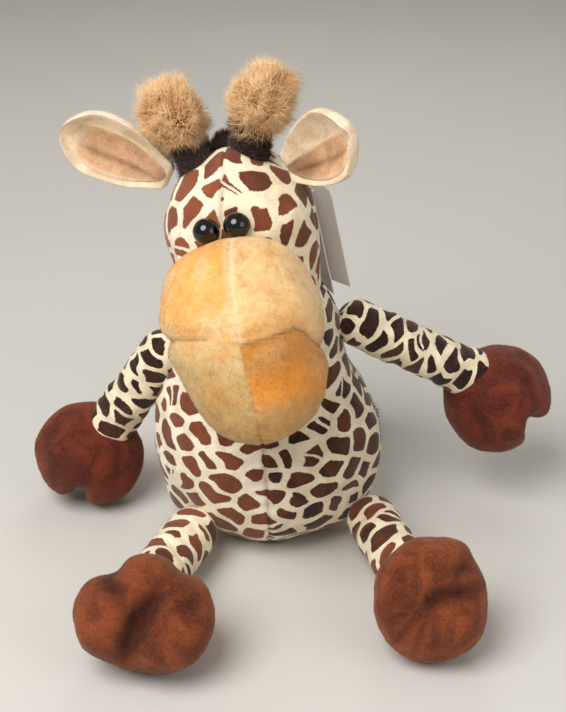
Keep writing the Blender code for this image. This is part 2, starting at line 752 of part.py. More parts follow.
def make_card(head_cutter):
    """A blank folded card, its two leaves standing a little open, hung from a thin plastic loop."""
    frame = card_frame()
    columns = 2
    rows = 20
    mesh = bpy.data.meshes.new("hang_tag")
    shape = bmesh.new()
    bmesh.ops.create_grid(shape, x_segments=columns, y_segments=rows, size=0.5)
    for vertex in shape.verts:
        leaf = vertex.co.x * 2.0
        drop = (0.5 - vertex.co.y) * CARD_HEIGHT
        width = CARD_WIDTH
        if drop < CARD_CORNER:
            width -= CARD_CORNER - math.sqrt(CARD_CORNER ** 2 - (CARD_CORNER - drop) ** 2)
        angle = math.copysign(CARD_OPENING / 2, leaf)
        along = abs(leaf) * width
        vertex.co = Vector((along * math.cos(angle), along * math.sin(angle), -drop))
    shape.to_mesh(mesh)
    shape.free()
    card = new_piece("hang_tag", mesh)
    card.matrix_world = frame
    board = card.modifiers.new("board", "SOLIDIFY")
    board.thickness = CARD_LEAF
    board.offset = 0.0
    hole = frame @ Matrix.Translation((CARD_HOLE_ALONG, 0.0, -CARD_HOLE_DROP))
    outline = [
        (0.0, CARD_WIDTH),
        (CARD_HOLE_RADIUS, CARD_WIDTH),
        (CARD_HOLE_RADIUS, -CARD_WIDTH),
        (0.0, -CARD_WIDTH),
    ]
    punch = turned("card_punch", outline, 12, CUTTERS)
    punch.matrix_world = hole @ Matrix.Rotation(math.radians(90.0), 4, "X")
    cut(card, punch)
    finish(card, colour(196, 190, 182), 0.6)
    curve = bpy.data.curves.new("tag_loop", "CURVE")
    curve.dimensions = "3D"
    curve.bevel_depth = LOOP_WIRE_RADIUS
    curve.bevel_resolution = 1
    turns = 28
    spline = curve.splines.new("POLY")
    spline.points.add(turns - 1)
    for step, point in enumerate(spline.points):
        angle = 2.0 * math.pi * step / turns
        point.co = (0.0, LOOP_RADIUS * math.sin(angle), LOOP_RADIUS * (1.0 - math.cos(angle)), 1.0)
    spline.use_cyclic_u = True
    loop = solid_from_curve("tag_loop", new_piece("loop_guide", curve, CUTTERS))
    loop.matrix_world = hole
    cut(loop, head_cutter)
    finish(loop, colour(230, 230, 228), 0.35)
    swing = carry("card_swing", hole.to_translation(), (card,))
    return loop, swing


def make_face(head, head_cutter, torso_cutter):
    """Everything sewn or fixed to the head, all of which moves with it."""
    seat_eyes(head)
    eye_left, washer_left = make_eye(1.0, "left", EYE_LEFT_HEIGHT)
    eye_right, washer_right = make_eye(-1.0, "right", EYE_RIGHT_HEIGHT)
    muzzle = make_muzzle((head_cutter, torso_cutter, neck_core(), grown(eye_left), grown(eye_right)))
    pieces = [head, muzzle, eye_left, washer_left, eye_right, washer_right, make_mane(head_cutter)]
    left_angles = (EAR_LEFT_TILT, EAR_LEFT_FORWARD, EAR_LEFT_RISE, EAR_LEFT_SWEEP, EAR_LEFT_ROLL)
    right_angles = (EAR_RIGHT_TILT, EAR_RIGHT_FORWARD, EAR_RIGHT_RISE, EAR_RIGHT_SWEEP, EAR_RIGHT_ROLL)
    for side, suffix, angles in ((1.0, "left", left_angles), (-1.0, "right", right_angles)):
        root = ear_frame(side, *angles).to_translation()
        pieces.append(carry("ear_root_" + suffix, root, make_ear(side, suffix, angles)))
        pieces.extend(make_horn(side, suffix, head_cutter))
    pieces.extend(make_card(head_cutter))
    carry("neck", NECK_PIVOT, pieces)


def main():
    torso = make_torso()
    torso_cutter = grown(torso)
    head = make_head()
    make_face(head, grown(head), torso_cutter)
    make_limbs(torso_cutter, floor_cutter())
    make_tail()


main()
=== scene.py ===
"""Looks of the seated plush giraffe, laid over the fixed frame of its solids.

Metres, +Z up. The toy faces -Y, so its own left side is at +X. Every skin is a closed surface of two
parameters, rows from pole to pole and columns round, worked out as whole arrays.
"""

import math

import bpy
import numpy as np
from mathutils import Matrix, Vector


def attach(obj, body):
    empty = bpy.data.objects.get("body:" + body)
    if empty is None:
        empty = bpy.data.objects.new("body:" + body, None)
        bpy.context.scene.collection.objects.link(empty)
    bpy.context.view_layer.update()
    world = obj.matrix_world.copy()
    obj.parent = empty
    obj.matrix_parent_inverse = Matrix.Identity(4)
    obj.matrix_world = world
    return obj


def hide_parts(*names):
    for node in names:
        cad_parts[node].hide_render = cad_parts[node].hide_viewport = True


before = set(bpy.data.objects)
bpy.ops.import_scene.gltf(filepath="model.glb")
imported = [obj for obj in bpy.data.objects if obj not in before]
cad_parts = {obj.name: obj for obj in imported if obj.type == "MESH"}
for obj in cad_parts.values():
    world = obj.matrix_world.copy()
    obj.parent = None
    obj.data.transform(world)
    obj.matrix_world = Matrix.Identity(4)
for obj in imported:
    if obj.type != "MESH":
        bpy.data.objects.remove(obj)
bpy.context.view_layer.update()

# Torso
TORSO_HALF_WIDTH = 0.0560
TORSO_DEPTH_SHARE = 0.83
TORSO_RISE_SHARE = 0.961
BELLY_SWAY = 0.0015
NECK_PIVOT = Vector((-0.0050, 0.0040, 0.1020))
NECK_BALL_RADIUS = 0.0400
TORSO_SIDE_SHARES = (
    (0.79, 0.84),
    (0.895, 0.72),
    (0.965, 0.60),
    (1.00, 0.46),
    (0.985, 0.31),
    (0.91, 0.17),
    (0.70, 0.075),
    (0.42, 0.0),
    (0.20, 0.0),
)

# Head
HEAD_LEAN = math.radians(-7.0)
HEAD_RADIUS = 0.0350
NECK_INSET = 0.0020
CROWN_HEIGHT = 0.0598
COLUMN_SHARES = ((1.0, 0.72), (0.985, 0.42), (0.955, 0.16))
FACE_TURN = math.radians(-11.5)
CROWN_ROLL = math.radians(-7.5)
SOCKET_GAP = 0.0006

# Muzzle
MUZZLE_HALF = np.array((0.0370, 0.0350, 0.0453))
MUZZLE_AT = Vector((-0.0105, -0.0520, 0.1270))
MUZZLE_LAY_BACK = math.radians(-20.0)
MUZZLE_SIDE_POWERS = (0.68, 0.75)
MOUTH_LINE = ((-1.2, 0.0026), (-1.0, 0.0034), (-0.75, 0.0052), (-0.4, 0.0052), (0.0, 0.0014), (0.45, 0.0036),
              (0.70, 0.0048), (0.82, 0.0022), (1.0, -0.0070), (1.2, -0.0085))
MUZZLE_SWAY = 0.0038
NOD_LIMIT = math.radians(15.0)
JAW_NARROWING = 0.09

# Eyes
EYE_RADIUS = 0.0061
EYE_RIM = 0.0012
EYE_SPREAD = math.radians(11.8)
EYE_HEIGHTS = {"left": 0.0715, "right": 0.0690}
EYE_SEAT_DEPTH = 0.0022
EYE_POST_RADIUS = 0.0018
EYE_POST_LENGTH = 0.0140

# Ears
EAR_LENGTH = 0.0545
EAR_HALF_WIDTH = 0.0155
EAR_THICKNESS = 0.0056
EAR_CUP_DEPTH = 0.0075
EAR_WIDTH_SHARES = (0.42, 0.66, 0.88, 1.01, 1.05, 1.0, 0.86)
EAR_ANGLES = {"left": (52.0, 8.0, 36.0, 48.0, -20.0), "right": (48.0, -5.0, 32.0, 8.0, 0.0)}
LINING_EDGES = {"left": (-0.84, 0.24), "right": (-0.84, 0.56)}

# Horns and tufts
HORN_SPREAD = math.radians(21.0)
HORN_RADIUS = 0.0088
HORN_HEIGHT = 0.0165
HORN_SHARES = ((0.0, 1.0), (0.55, 1.0), (0.92, 0.93), (1.04, 0.78), (0.98, 0.5), (1.02, 0.22), (1.16, 0.02),
               (1.0, -0.08), (0.0, -0.10))
TUFT_RADIUS = 0.0148
TUFT_HEIGHT = 0.0300
TUFT_OVERLAP = 0.0070
TUFT_LEAN = math.radians(12.0)
CUT_OVERRUN = 0.0020

# Mane
MANE_HEIGHT = 0.0085
MANE_FRONT_ANGLE = math.radians(-5.0)
MANE_LOW_HEIGHT = 0.0320

# Arms and legs: root, hoof's middle, aim of the sleeve, half sizes, direction of the toes
ARM_ROOT_RADIUS = 0.0116
SLEEVE_RADIUS = 0.0120
LEG_ROOT_RADIUS = 0.0125
LEG_SLEEVE_RADIUS = 0.0130
ARMS = {
    "left": ((0.0440, 0.0070, 0.1062), (0.1155, 0.0210, 0.0568), (0.1155, 0.0210, 0.0638),
             (0.0272, 0.0248, 0.0258), (0.73, 0.10, -0.68)),
    "right": ((-0.0520, 0.0060, 0.0905), (-0.0925, 0.0150, 0.0277), (-0.0925, 0.0150, 0.0277),
              (0.0272, 0.0248, 0.0258), (-0.40, 0.05, -0.91)),
}
LEGS = {
    "left": ((0.0510, -0.0310, 0.0170), (0.0720, -0.1055, 0.0262), (0.0715, -0.0970, 0.0185),
             (0.0250, 0.0272, 0.0230), (0.16, -0.88, 0.40)),
    "right": ((-0.0375, -0.0415, 0.0170), (-0.0525, -0.1165, 0.0262), (-0.0585, -0.0980, 0.0185),
              (0.0285, 0.0272, 0.0230), (-0.10, -0.88, 0.42)),
}

# Each hoof: the side its toes part along, the notch's depth, width and shift, the turn and fall of its forms'
# middle, and its forms, each an azimuth, a reach, a radial and a side width in degrees, and a height in mm
FORE_HOOVES = {
    "left": ((0.60, 0.376, 0.70), (0.42, 0.20, 0.0), (0.0, 0.0), (
        (0, 62, 40, 40, 1.6), (180, 55, 40, 45, 0.8), (90, 35, 30, 14, -2.0), (95, 75, 30, 30, 0.8),
        (60, 110, 25, 10, -1.4), (95, 112, 22, 8, -1.2), (130, 112, 25, 10, -1.3), (30, 80, 26, 12, -0.9))),
    "right": ((0.89, -0.214, -0.40), (0.42, 0.17, 0.22), (0.0, 0.0), (
        (180, 60, 40, 40, 0.8), (0, 60, 40, 40, 1.0), (80, 40, 30, 14, -1.8), (40, 105, 25, 10, -1.4),
        (110, 108, 25, 8, -1.5), (75, 115, 22, 7, -1.3), (140, 96, 26, 10, -1.0))),
}
HIND_HOOVES = {
    "left": ((1.0, 0.0, 0.0), (0.0, 0.3, 0.0), (128.0, 17.0), (
        (0, 0, 12, 60, -3.4), (6, 28, 24, 8, -5.4), (40, 44, 30, 9, -3.2), (62, 78, 38, 20, 2.0),
        (110, 62, 40, 24, 1.6), (206, 30, 26, 5, -2.2), (228, 34, 28, 5, -2.5), (250, 34, 26, 5, -2.4),
        (274, 32, 24, 6, -2.0), (182, 32, 22, 6, -1.6), (322, 50, 34, 26, 1.6), (150, 32, 22, 6, -1.2))),
    "right": ((1.0, 0.0, 0.0), (0.0, 0.3, 0.0), (60.0, 4.0), (
        (0, 0, 14, 90, -5.0), (180, 58, 42, 40, 3.4), (0, 62, 42, 40, 3.0), (124, 88, 40, 15, -5.0),
        (54, 92, 38, 14, -4.2), (240, 84, 40, 22, -2.6), (275, 90, 40, 34, -2.6), (58, 20, 22, 9, -6.0),
        (248, 22, 22, 10, -7.0), (130, 42, 28, 8, -3.0), (18, 46, 30, 7, -2.4), (320, 52, 30, 26, 1.6))),
}

# Tail
TAIL_RADIUS = 0.0042
TAIL_ROOT_RADIUS = 0.0048
TAIL_ROUTE = (
    (0.0020, 0.0480, 0.0240),
    (0.0060, 0.0570, 0.0190),
    (0.0140, 0.0660, 0.0120),
    (0.0240, 0.0740, 0.0080),
    (0.0360, 0.0800, 0.0077),
)

# Each skin's grid: rows from pole to pole, and columns round
GRIDS = {
    "torso": (230, 336),
    "head": (220, 240),
    "muzzle": (132, 204),
    "eye": (24, 64),
    "ear": (110, 96),
    "lining": (90, 80),
    "horn": (70, 90),
    "tuft": (60, 72),
    "mane": (120, 40),
    "sleeve": (120, 112),
    "hoof": (120, 156),
    "tail": (90, 40),
    "tail_tuft": (40, 40),
}

# Each skin's pile: how many fibres, and their length and width
FIBRES = {
    "torso": (32000, 0.0010, 0.00015),
    "head": (24000, 0.0010, 0.00015),
    "muzzle": (30000, 0.0011, 0.00017),
    "ear": (7500, 0.0011, 0.00017),
    "lining": (6000, 0.0011, 0.00017),
    "horn": (9000, 0.0036, 0.00018),
    "sleeve": (7500, 0.0010, 0.00016),
    "hoof": (14500, 0.0010, 0.00018),
    "tail": (5000, 0.0012, 0.0002),
}

# Long fur: how many hairs, and their radii from the root up
TUFT_HAIRS = (12500, (0.00017, 0.00014))
MANE_HAIRS = (6000, (0.00017, 0.00015, 0.0001))
TAIL_HAIRS = (3200, (0.00017, 0.00015, 0.0001))

# Each print: its cell, its stretch along the piece, and the width of the cream lanes
PRINTS = {
    "torso": (0.0150, 1.42, 0.0044),
    "head": (0.0138, 1.0, 0.0044),
    "arm": (0.0158, 1.9, 0.0044),
    "leg": (0.0165, 1.7, 0.0050),
    "tail": (0.0088, 1.0, 0.0024),
}
PATCH_ROUNDING = 0.0005
PATCH_WARP = 0.0010
PATCH_JITTER = 0.34
SLIT_SHARE = 0.13
SLIT_HALF_WIDTH = 0.0009

# Half widths of the pressed seams: on the body, across it at the sides, and of their dark stitch line
SEAM_WIDTH = 0.0011
SIDE_SEAM_WIDTH = 0.0010
STITCH_WIDTH = 0.0009

# The photograph's view
CAMERA_RISE = math.radians(28.0)
CAMERA_DISTANCE = 0.680
CAMERA_TARGET = Vector((0.007, 0.0, 0.092))
FOCAL_PIXELS = 1400.0
PHOTO_HEIGHT = 712.0
SENSOR_HEIGHT = 36.0

HEAD_FRAME = Matrix.Translation(NECK_PIVOT) @ Matrix.Rotation(HEAD_LEAN, 4, "Y")
FACE_FRAME = HEAD_FRAME @ Matrix.Rotation(FACE_TURN, 4, "Z")
CROWN_FRAME = FACE_FRAME @ Matrix.Translation((0.0, 0.0, CROWN_HEIGHT)) @ Matrix.Rotation(CROWN_ROLL, 4, "Y")
MUZZLE_FRAME = Matrix.Translation(MUZZLE_AT) @ Matrix.Rotation(HEAD_LEAN, 4, "Y") @ Matrix.Rotation(
    MUZZLE_LAY_BACK, 4, "X")


# Arrays

def placed(place, points):
    """Points carried by a frame: turned, then shifted."""
    table = np.array(place)
    return points @ table[:3, :3].T + table[:3, 3]


def unplaced(place, points):
    """Points of the scene read in a frame's own axes."""
    return placed(place.inverted(), points)


def unit(vectors):
    """Vectors over their lengths."""
    length = np.linalg.norm(vectors, axis=-1, keepdims=True)
    return vectors / np.maximum(length, 1e-12)


def smooth(share):
    """Eased step from 0 to 1: 3 s squared less 2 s cubed."""
    share = np.clip(share, 0.0, 1.0)
    return share * share * (3.0 - 2.0 * share)


def bell(offset):
    """A rounded bump of height 1: e to the power of minus the offset squared."""
    return np.exp(-offset * offset)


def signed_power(values, power):
    """Values to a power, with their signs kept."""
    return np.sign(values) * np.abs(values) ** power


def rounded_ends(share, first, last):
    """1 along a strip, and near its ends the root of the way in, as a share of first and of last."""
    return np.sqrt(np.clip(np.minimum(share / first, (1.0 - share) / last), 0.0, 1.0))


def circle(columns):
    """Equal turns round a circle, from 0 to just before the full turn."""
    return np.linspace(0.0, 2.0 * math.pi, columns, endpoint=False)


def arc(radius, angle, height=0.0):
    """Knots of an arc, with angles from its top: (radius times sine, height plus radius times cosine)."""
    return np.stack((radius * np.sin(angle), height + radius * np.cos(angle)), axis=1)


def ripple(points, pitch, seed, waves=9):
    """Smooth noise of unit spread: a sum of sine waves in random directions, each about a pitch long."""
    chance = np.random.default_rng(seed)
    total = np.zeros(points.shape[:-1])
    for _ in range(waves):
        direction = unit(chance.normal(size=3))
        rate = 2.0 * math.pi / pitch * chance.uniform(0.7, 1.4)
        total += np.sin(points @ direction * rate + chance.uniform(0.0, 2.0 * math.pi))
    return total * math.sqrt(2.0 / waves)


def locks_of(points, pitch, seed):
    """Three ripples as a vector, which gathers hairs into locks or sways a nap."""
    return np.stack([ripple(points, pitch, seed + axis) for axis in range(3)], axis=-1)


def curve_through(knots, count):
    """A smooth curve through knots, cubic between each two, at equal steps of its length."""
    knots = np.asarray(knots, float)
    padded = np.vstack((2.0 * knots[:1] - knots[1:2], knots, 2.0 * knots[-1:] - knots[-2:-1]))
    share = np.linspace(0.0, len(knots) - 1.0, 40 * len(knots))
    cell = np.minimum(share.astype(int), len(knots) - 2)
    part = (share - cell)[:, None]
    before, start, end, after = (padded[cell + step] for step in range(4))
    bend = 2.0 * before - 5.0 * start + 4.0 * end - after
    twist = 3.0 * start - before - 3.0 * end + after
    curve = start + 0.5 * part * ((end - before) + part * (bend + part * twist))
    length = np.concatenate(((0.0,), np.cumsum(np.linalg.norm(np.diff(curve, axis=0), axis=1))))
    steps = np.linspace(0.0, length[-1], count)
    return np.stack([np.interp(steps, length, curve[:, axis]) for axis in range(curve.shape[1])], axis=1)


def closed_outline(knots, count):
    """A smooth outline through knots, with both ends on the axis."""
    outline = curve_through(knots, count)
    outline[0, 0] = 0.0
    outline[-1, 0] = 0.0
    return outline


def frame_along(origin, points_to, side_hint):
    """A frame at the origin whose Z runs along a direction and whose X stays near a hint."""
    z_axis = Vector(points_to).normalized()
    y_axis = z_axis.cross(Vector(side_hint)).normalized()
    x_axis = y_axis.cross(z_axis)
    return Matrix.Translation(Vector(origin)) @ Matrix((x_axis, y_axis, z_axis)).transposed().to_4x4()


def sphere_directions(rows, columns):
    """Unit directions from the +Z pole down to the -Z pole, and the angle from +Z and the turn about it."""
    fall = np.linspace(0.0, math.pi, rows)[:, None] + np.zeros((1, columns))
    turn = circle(columns)[None] + np.zeros((rows, 1))
    level = np.sin(fall)
    return np.stack((level * np.cos(turn), level * np.sin(turn), np.cos(fall)), axis=-1), fall, turn


def turned(outline, columns, start=0.0):
    """A surface turned about Z: each (radius, height) of the outline times a circle."""
    turn = start + circle(columns)[None]
    radius = outline[:, :1]
    height = outline[:, 1:] + np.zeros_like(turn)
    return np.stack((radius * np.cos(turn), radius * np.sin(turn), height), axis=-1)


def giraffe_patches(radius, outline, columns, gores, seed, sizes):
    """How deep each point of a turned skin lies inside a patch of the print, and that patch's tone.

    Each gore lies flat: across = radius times the angle from its middle, along = the length run down the
    outline. Patches are cells round seeds: a cell's side towards another seed lies at (far squared less near
    squared, with the sizes squared taken off) / twice the seeds' distance. Depth = soft minimum - half a gap.
    """
    cell, stretch, gap = sizes
    run = np.concatenate(((0.0,), np.cumsum(np.linalg.norm(np.diff(outline, axis=0), axis=1))))
    radius = np.asarray(radius)
    each = columns // gores
    span = 2.0 * math.pi / gores
    chance = np.random.default_rng(seed)
    reach = radius.max() * span / 2 + cell
    row_numbers = np.arange(-1.0, run[-1] * stretch / cell + 1.0)
    rows, lines = np.meshgrid(row_numbers, np.arange(-reach, reach, cell), indexing="ij")
    depth = np.zeros((len(run), columns))
    tone = np.zeros((len(run), columns))
    for gore in range(gores):
        angle = (np.arange(each) / each - 0.5) * span
        flat = np.stack((radius[:, None] * angle, run[:, None] * stretch + 0.0 * angle), axis=-1)
        bend = np.concatenate((flat, np.full((*flat.shape[:2], 1), 0.3 * gore)), axis=-1)
        warp = np.stack((ripple(bend, 0.016, seed), ripple(bend, 0.016, seed + 1)), axis=-1)
        flat = flat + PATCH_WARP * warp
        flat = flat.reshape(-1, 2)
        grid = np.stack((lines + 0.5 * cell * (rows % 2), rows * cell), axis=-1).reshape(-1, 2)
        grid = grid + chance.uniform(-PATCH_JITTER, PATCH_JITTER, grid.shape) * cell
        size = 0.42 * cell * chance.uniform(0.6, 1.25, len(grid))
        power = np.sum((flat[:, None] - grid) ** 2, axis=-1) - size ** 2
        near = np.argmin(power, axis=1)
        between = np.linalg.norm(grid[:, None] - grid, axis=-1)[near]
        side = (power - power.min(axis=1, keepdims=True)) / (2.0 * np.maximum(between, 1e-6))
        side[np.arange(len(near)), near] = 1.0
        inside = -PATCH_ROUNDING * np.log(np.sum(np.exp(-side / PATCH_ROUNDING), axis=1))
        inside = inside - gap / 2 * chance.uniform(0.82, 1.12, len(grid))[near]
        heading = chance.uniform(0.0, math.pi, len(grid))[near]
        slit = flat - grid[near]
        slit = np.abs(slit[:, 0] * np.cos(heading) + slit[:, 1] * np.sin(heading)) - SLIT_HALF_WIDTH
        cut = (chance.uniform(size=len(grid)) < SLIT_SHARE)[near] & (size[near] > 0.35 * cell)
        inside = np.where(cut, np.minimum(inside, slit), inside)
        where = slice(gore * each, (gore + 1) * each)
        depth[:, where] = inside.reshape(len(run), each)
        tone[:, where] = chance.uniform(size=len(grid))[near].reshape(len(run), each)
    return depth, tone


def normals_of(points):
    """Outward normals of a closed skin: the step down a column crossed with the step round a row."""
    down = np.gradient(points, axis=0)
    round_row = np.roll(points, -1, axis=1) - np.roll(points, 1, axis=1)
    normals = np.cross(down, round_row)
    normals[0] = normals[1].mean(axis=0)
    normals[-1] = normals[-2].mean(axis=0)
    return unit(normals)


def swollen(points, amount):
    """A skin moved out along its normals by an amount at each point."""
    amount = np.array(amount + np.zeros(points.shape[:-1]))
    amount[0] = amount[0].mean()
    amount[-1] = amount[-1].mean()
    return points + normals_of(points) * amount[..., None]


# Meshes

def new_piece(name, vertices, faces, marks):
    """A mesh object from arrays: faces is a list of arrays of corners, marks are its named attributes."""
    mesh = bpy.data.meshes.new(name)
    corners = np.concatenate([part.ravel() for part in faces]).astype(np.int32)
    sizes = np.concatenate([np.full(len(part), part.shape[1]) for part in faces])
    mesh.vertices.add(len(vertices))
    mesh.vertices.foreach_set("co", np.asarray(vertices, np.float32).ravel())
    mesh.loops.add(len(corners))
    mesh.loops.foreach_set("vertex_index", corners)
    mesh.polygons.add(len(sizes))
    mesh.polygons.foreach_set("loop_start", (np.cumsum(sizes) - sizes).astype(np.int32))
    mesh.polygons.foreach_set("use_smooth", np.ones(len(sizes), bool))
    for mark, values in marks.items():
        layer = mesh.attributes.new(mark, "FLOAT", "POINT")
        layer.data.foreach_set("value", np.asarray(values, np.float32).ravel())
    mesh.update(calc_edges=True)
    mesh.validate()
    piece = bpy.data.objects.new(name, mesh)
    bpy.context.scene.collection.objects.link(piece)
    return piece


def skin_piece(name, points, marks):
    """A closed skin's mesh, with one vertex at each pole."""
    rows, columns = points.shape[:2]

    def poled(values):
        flat = values[1:-1].reshape(-1, *values.shape[2:])
        return np.concatenate((values[0, :1], flat, values[-1, :1]))

    index = 1 + np.arange((rows - 2) * columns).reshape(rows - 2, columns)
    beside = np.roll(index, -1, axis=1)
    sides = np.stack((index[:-1], index[1:], beside[1:], beside[:-1]), axis=-1).reshape(-1, 4)
    start = np.zeros(columns, int)
    end = start + index[-1, -1] + 1
    top = np.stack((start, index[0], beside[0]), axis=-1)
    bottom = np.stack((end, beside[-1], index[-1]), axis=-1)
    poled_marks = {key: poled(value) for key, value in marks.items()}
    return new_piece(name, poled(points), [sides, top, bottom], poled_marks)


def hairs(name, paths, radii, marks):
    """Closed three-sided hairs: three corners at every knot of each path, and a point at its last knot."""
    count, knots = paths.shape[:2]
    along = unit(paths[:, 1] - paths[:, 0])
    hint = np.where(np.abs(along[:, 2:]) < 0.8, (0.0, 0.0, 1.0), (1.0, 0.0, 0.0))
    side = unit(np.cross(along, hint))
    up = np.cross(along, side)
    angle = np.arange(3) * 2.0 * math.pi / 3.0
    ring = side[:, None] * np.cos(angle)[:, None] + up[:, None] * np.sin(angle)[:, None]
    body = paths[:, :-1, None] + ring[:, None] * radii[:, :, None, None]
    vertices = np.concatenate((body.reshape(count, -1, 3), paths[:, -1:]), axis=1)
    each = vertices.shape[1]
    first = (np.arange(count) * each)[:, None, None]
    corner = np.arange(3)
    beside = (corner + 1) % 3
    rise = 3 * np.arange(knots - 2)[:, None]
    walls = np.stack((rise + corner, rise + beside, rise + beside + 3, rise + corner + 3), axis=-1)
    walls = walls.reshape(-1, 4)
    last = 3 * (knots - 2)
    tips = np.stack((last + corner, last + beside, np.full(3, each - 1)), axis=-1)
    roots = np.array(((0, 2, 1),))
    faces = [(first + part).reshape(-1, part.shape[1]) for part in (walls, tips, roots) if len(part)]
    spread = {}
    for key, values in marks.items():
        spread[key] = np.repeat(values, each, axis=0)
    height = np.append(np.repeat(np.arange(knots - 1), 3), knots - 1) / (knots - 1)
    spread["tip"] = np.tile(height, count)
    return new_piece(name, vertices.reshape(-1, 3), faces, spread)


def scattered(points, marks, count, chance, keep=None):
    """Places spread evenly over a skin by area: their point, normal and marks."""
    normals = normals_of(points)
    corners = [points[:-1], np.roll(points, -1, axis=1)[:-1], points[1:], np.roll(points, -1, axis=1)[1:]]
    area = np.linalg.norm(np.cross(corners[1] - corners[2], corners[3] - corners[0]), axis=-1)
    if keep is not None:
        area = area * keep[:-1]
    total = np.cumsum(area.ravel())
    cell = np.searchsorted(total, chance.uniform(0.0, total[-1], count))
    row, column = np.unravel_index(cell, area.shape)
    beside = (column + 1) % points.shape[1]
    down, across = chance.uniform(size=(2, count))

    def between(values):
        weight = (down[:, None], across[:, None]) if values.ndim == 3 else (down, across)
        high = values[row, column] * (1.0 - weight[1]) + values[row, beside] * weight[1]
        low = values[row + 1, column] * (1.0 - weight[1]) + values[row + 1, beside] * weight[1]
        return high * (1.0 - weight[0]) + low * weight[0]

    return between(points), unit(between(normals)), {key: between(value) for key, value in marks.items()}


def pile(name, points, marks, count, length, width, nap, seed, stand=0.55, stray=0.25, keep=None, brush=0.0):
    """Short fibres on a skin, leaning along the nap: direction = stand times normal + nap + a stray part."""
    chance = np.random.default_rng(seed)
    root, normal, spread = scattered(points, marks, count, chance, keep)
    nap = np.asarray(nap, float)
    flow = nap + brush * locks_of(root, 0.012, seed)
    flow = unit(flow - normal * np.sum(flow * normal, axis=-1, keepdims=True))
    direction = unit(normal * stand + flow + chance.normal(scale=stray, size=root.shape))
    reach = length * chance.uniform(0.6, 1.25, count)[:, None]
    root = root - normal * (0.15 * length)
    point = root + direction * reach
    point[:, 2] = np.maximum(point[:, 2], 0.0001)
    root[:, 2] = np.maximum(root[:, 2], 0.0)
    paths = np.stack((root, point), axis=1)
    spread["shade"] = chance.uniform(size=count)
    return hairs(name, paths, np.full((count, 1), width / 2), spread)


# Finishes

def colour(red, green, blue):
    """Linear colour from the usual 0 to 255 display values."""
    share = np.array((red, green, blue)) / 255.0
    linear = np.where(share <= 0.04045, share / 12.92, ((share + 0.055) / 1.055) ** 2.4)
    return (*linear.tolist(), 1.0)


class Nodes:
    """Short calls for the nodes of one tree; an input may be a number, a colour or another node's output."""

    def __init__(self, tree):
        self.tree = tree

    def add(self, kind, inputs=None, **settings):
        node = self.tree.nodes.new(kind)
        for name, value in settings.items():
            setattr(node, name, value)
        for name, value in (inputs or {}).items():
            self.feed(node.inputs[name], value)
        return node

    def feed(self, socket, value):
        if isinstance(value, bpy.types.NodeSocket):
            self.tree.links.new(value, socket)
        elif value is not None:
            socket.default_value = value

    def math(self, operation, first, second=None):
        return self.add("ShaderNodeMath", {0: first, 1: second}, operation=operation).outputs[0]

    def ease(self, value, low, high, to_low=0.0, to_high=1.0):
        inputs = {"Value": value, "From Min": low, "From Max": high, "To Min": to_low, "To Max": to_high}
        return self.add("ShaderNodeMapRange", inputs, interpolation_type="SMOOTHSTEP").outputs[0]

    def mix(self, share, first, second, blend="MIX"):
        node = self.add("ShaderNodeMix", {0: share}, data_type="RGBA", blend_type=blend)
        self.feed(node.inputs[6], first)
        self.feed(node.inputs[7], second)
        return node.outputs[2]

    def noise(self, place, size, detail=2.0, rough=0.5):
        inputs = {"Vector": place, "Scale": 1.0 / size, "Detail": detail, "Roughness": rough}
        return self.add("ShaderNodeTexNoise", inputs).outputs[0]

    def mark(self, name):
        return self.add("ShaderNodeAttribute", attribute_name=name).outputs["Fac"]

    def place(self):
        return self.add("ShaderNodeTexCoord").outputs["Object"]


def new_group(name, inputs, outputs):
    """An empty shader group with named inputs and outputs; returns its tree, its nodes and its two ends."""
    tree = bpy.data.node_groups.new(name, "ShaderNodeTree")
    for socket, kind in inputs:
        tree.interface.new_socket(name=socket, in_out="INPUT", socket_type=kind)
    for socket, kind in outputs:
        tree.interface.new_socket(name=socket, in_out="OUTPUT", socket_type=kind)
    nodes = Nodes(tree)
    return tree, nodes, nodes.add("NodeGroupInput").outputs, nodes.add("NodeGroupOutput").inputs


def print_group():
    """The print's edge: depth inside a patch, roughened a little by the pile, eased from 0 to 1."""
    tree, nodes, given, result = new_group(
        "giraffe_print", (("Place", "NodeSocketVector"), ("Depth", "NodeSocketFloat")),
        (("Patch", "NodeSocketFloat"),))
    rough = nodes.ease(nodes.noise(given["Place"], 0.0014, 2.0), 0.3, 0.7, -0.00022, 0.00022)
    nodes.feed(result["Patch"], nodes.ease(nodes.math("ADD", given["Depth"], rough), -0.00020, 0.00024))
    return tree


def pile_group():
    """Short pile: fine grain for the bump, and soft patches where the nap is brushed the other way."""
    tree, nodes, given, result = new_group(
        "pile_grain",
        (("Place", "NodeSocketVector"), ("Grain", "NodeSocketFloat"), ("Brush", "NodeSocketFloat")),
        (("Height", "NodeSocketFloat"), ("Shade", "NodeSocketFloat")))
    rate = nodes.math("DIVIDE", 1.0, given["Grain"])
    inputs = {"Vector": given["Place"], "Scale": rate, "Detail": 3.0, "Roughness": 0.6}
    grain = nodes.add("ShaderNodeTexNoise", inputs).outputs[0]
    brush_rate = nodes.math("DIVIDE", 1.0, given["Brush"])
    inputs = {"Vector": given["Place"], "Scale": brush_rate, "Detail": 2.5, "Roughness": 0.55}
    inputs["Distortion"] = 0.8
    brush = nodes.add("ShaderNodeTexNoise", inputs).outputs[0]
    coarse = nodes.ease(brush, 0.35, 0.65, 0.0, 0.6)
    shade = nodes.math("ADD", coarse, nodes.ease(grain, 0.35, 0.65, 0.0, 0.4))
    nodes.feed(result["Height"], grain)
    nodes.feed(result["Shade"], shade)
    return tree


PRINT = print_group()
PILE = pile_group()


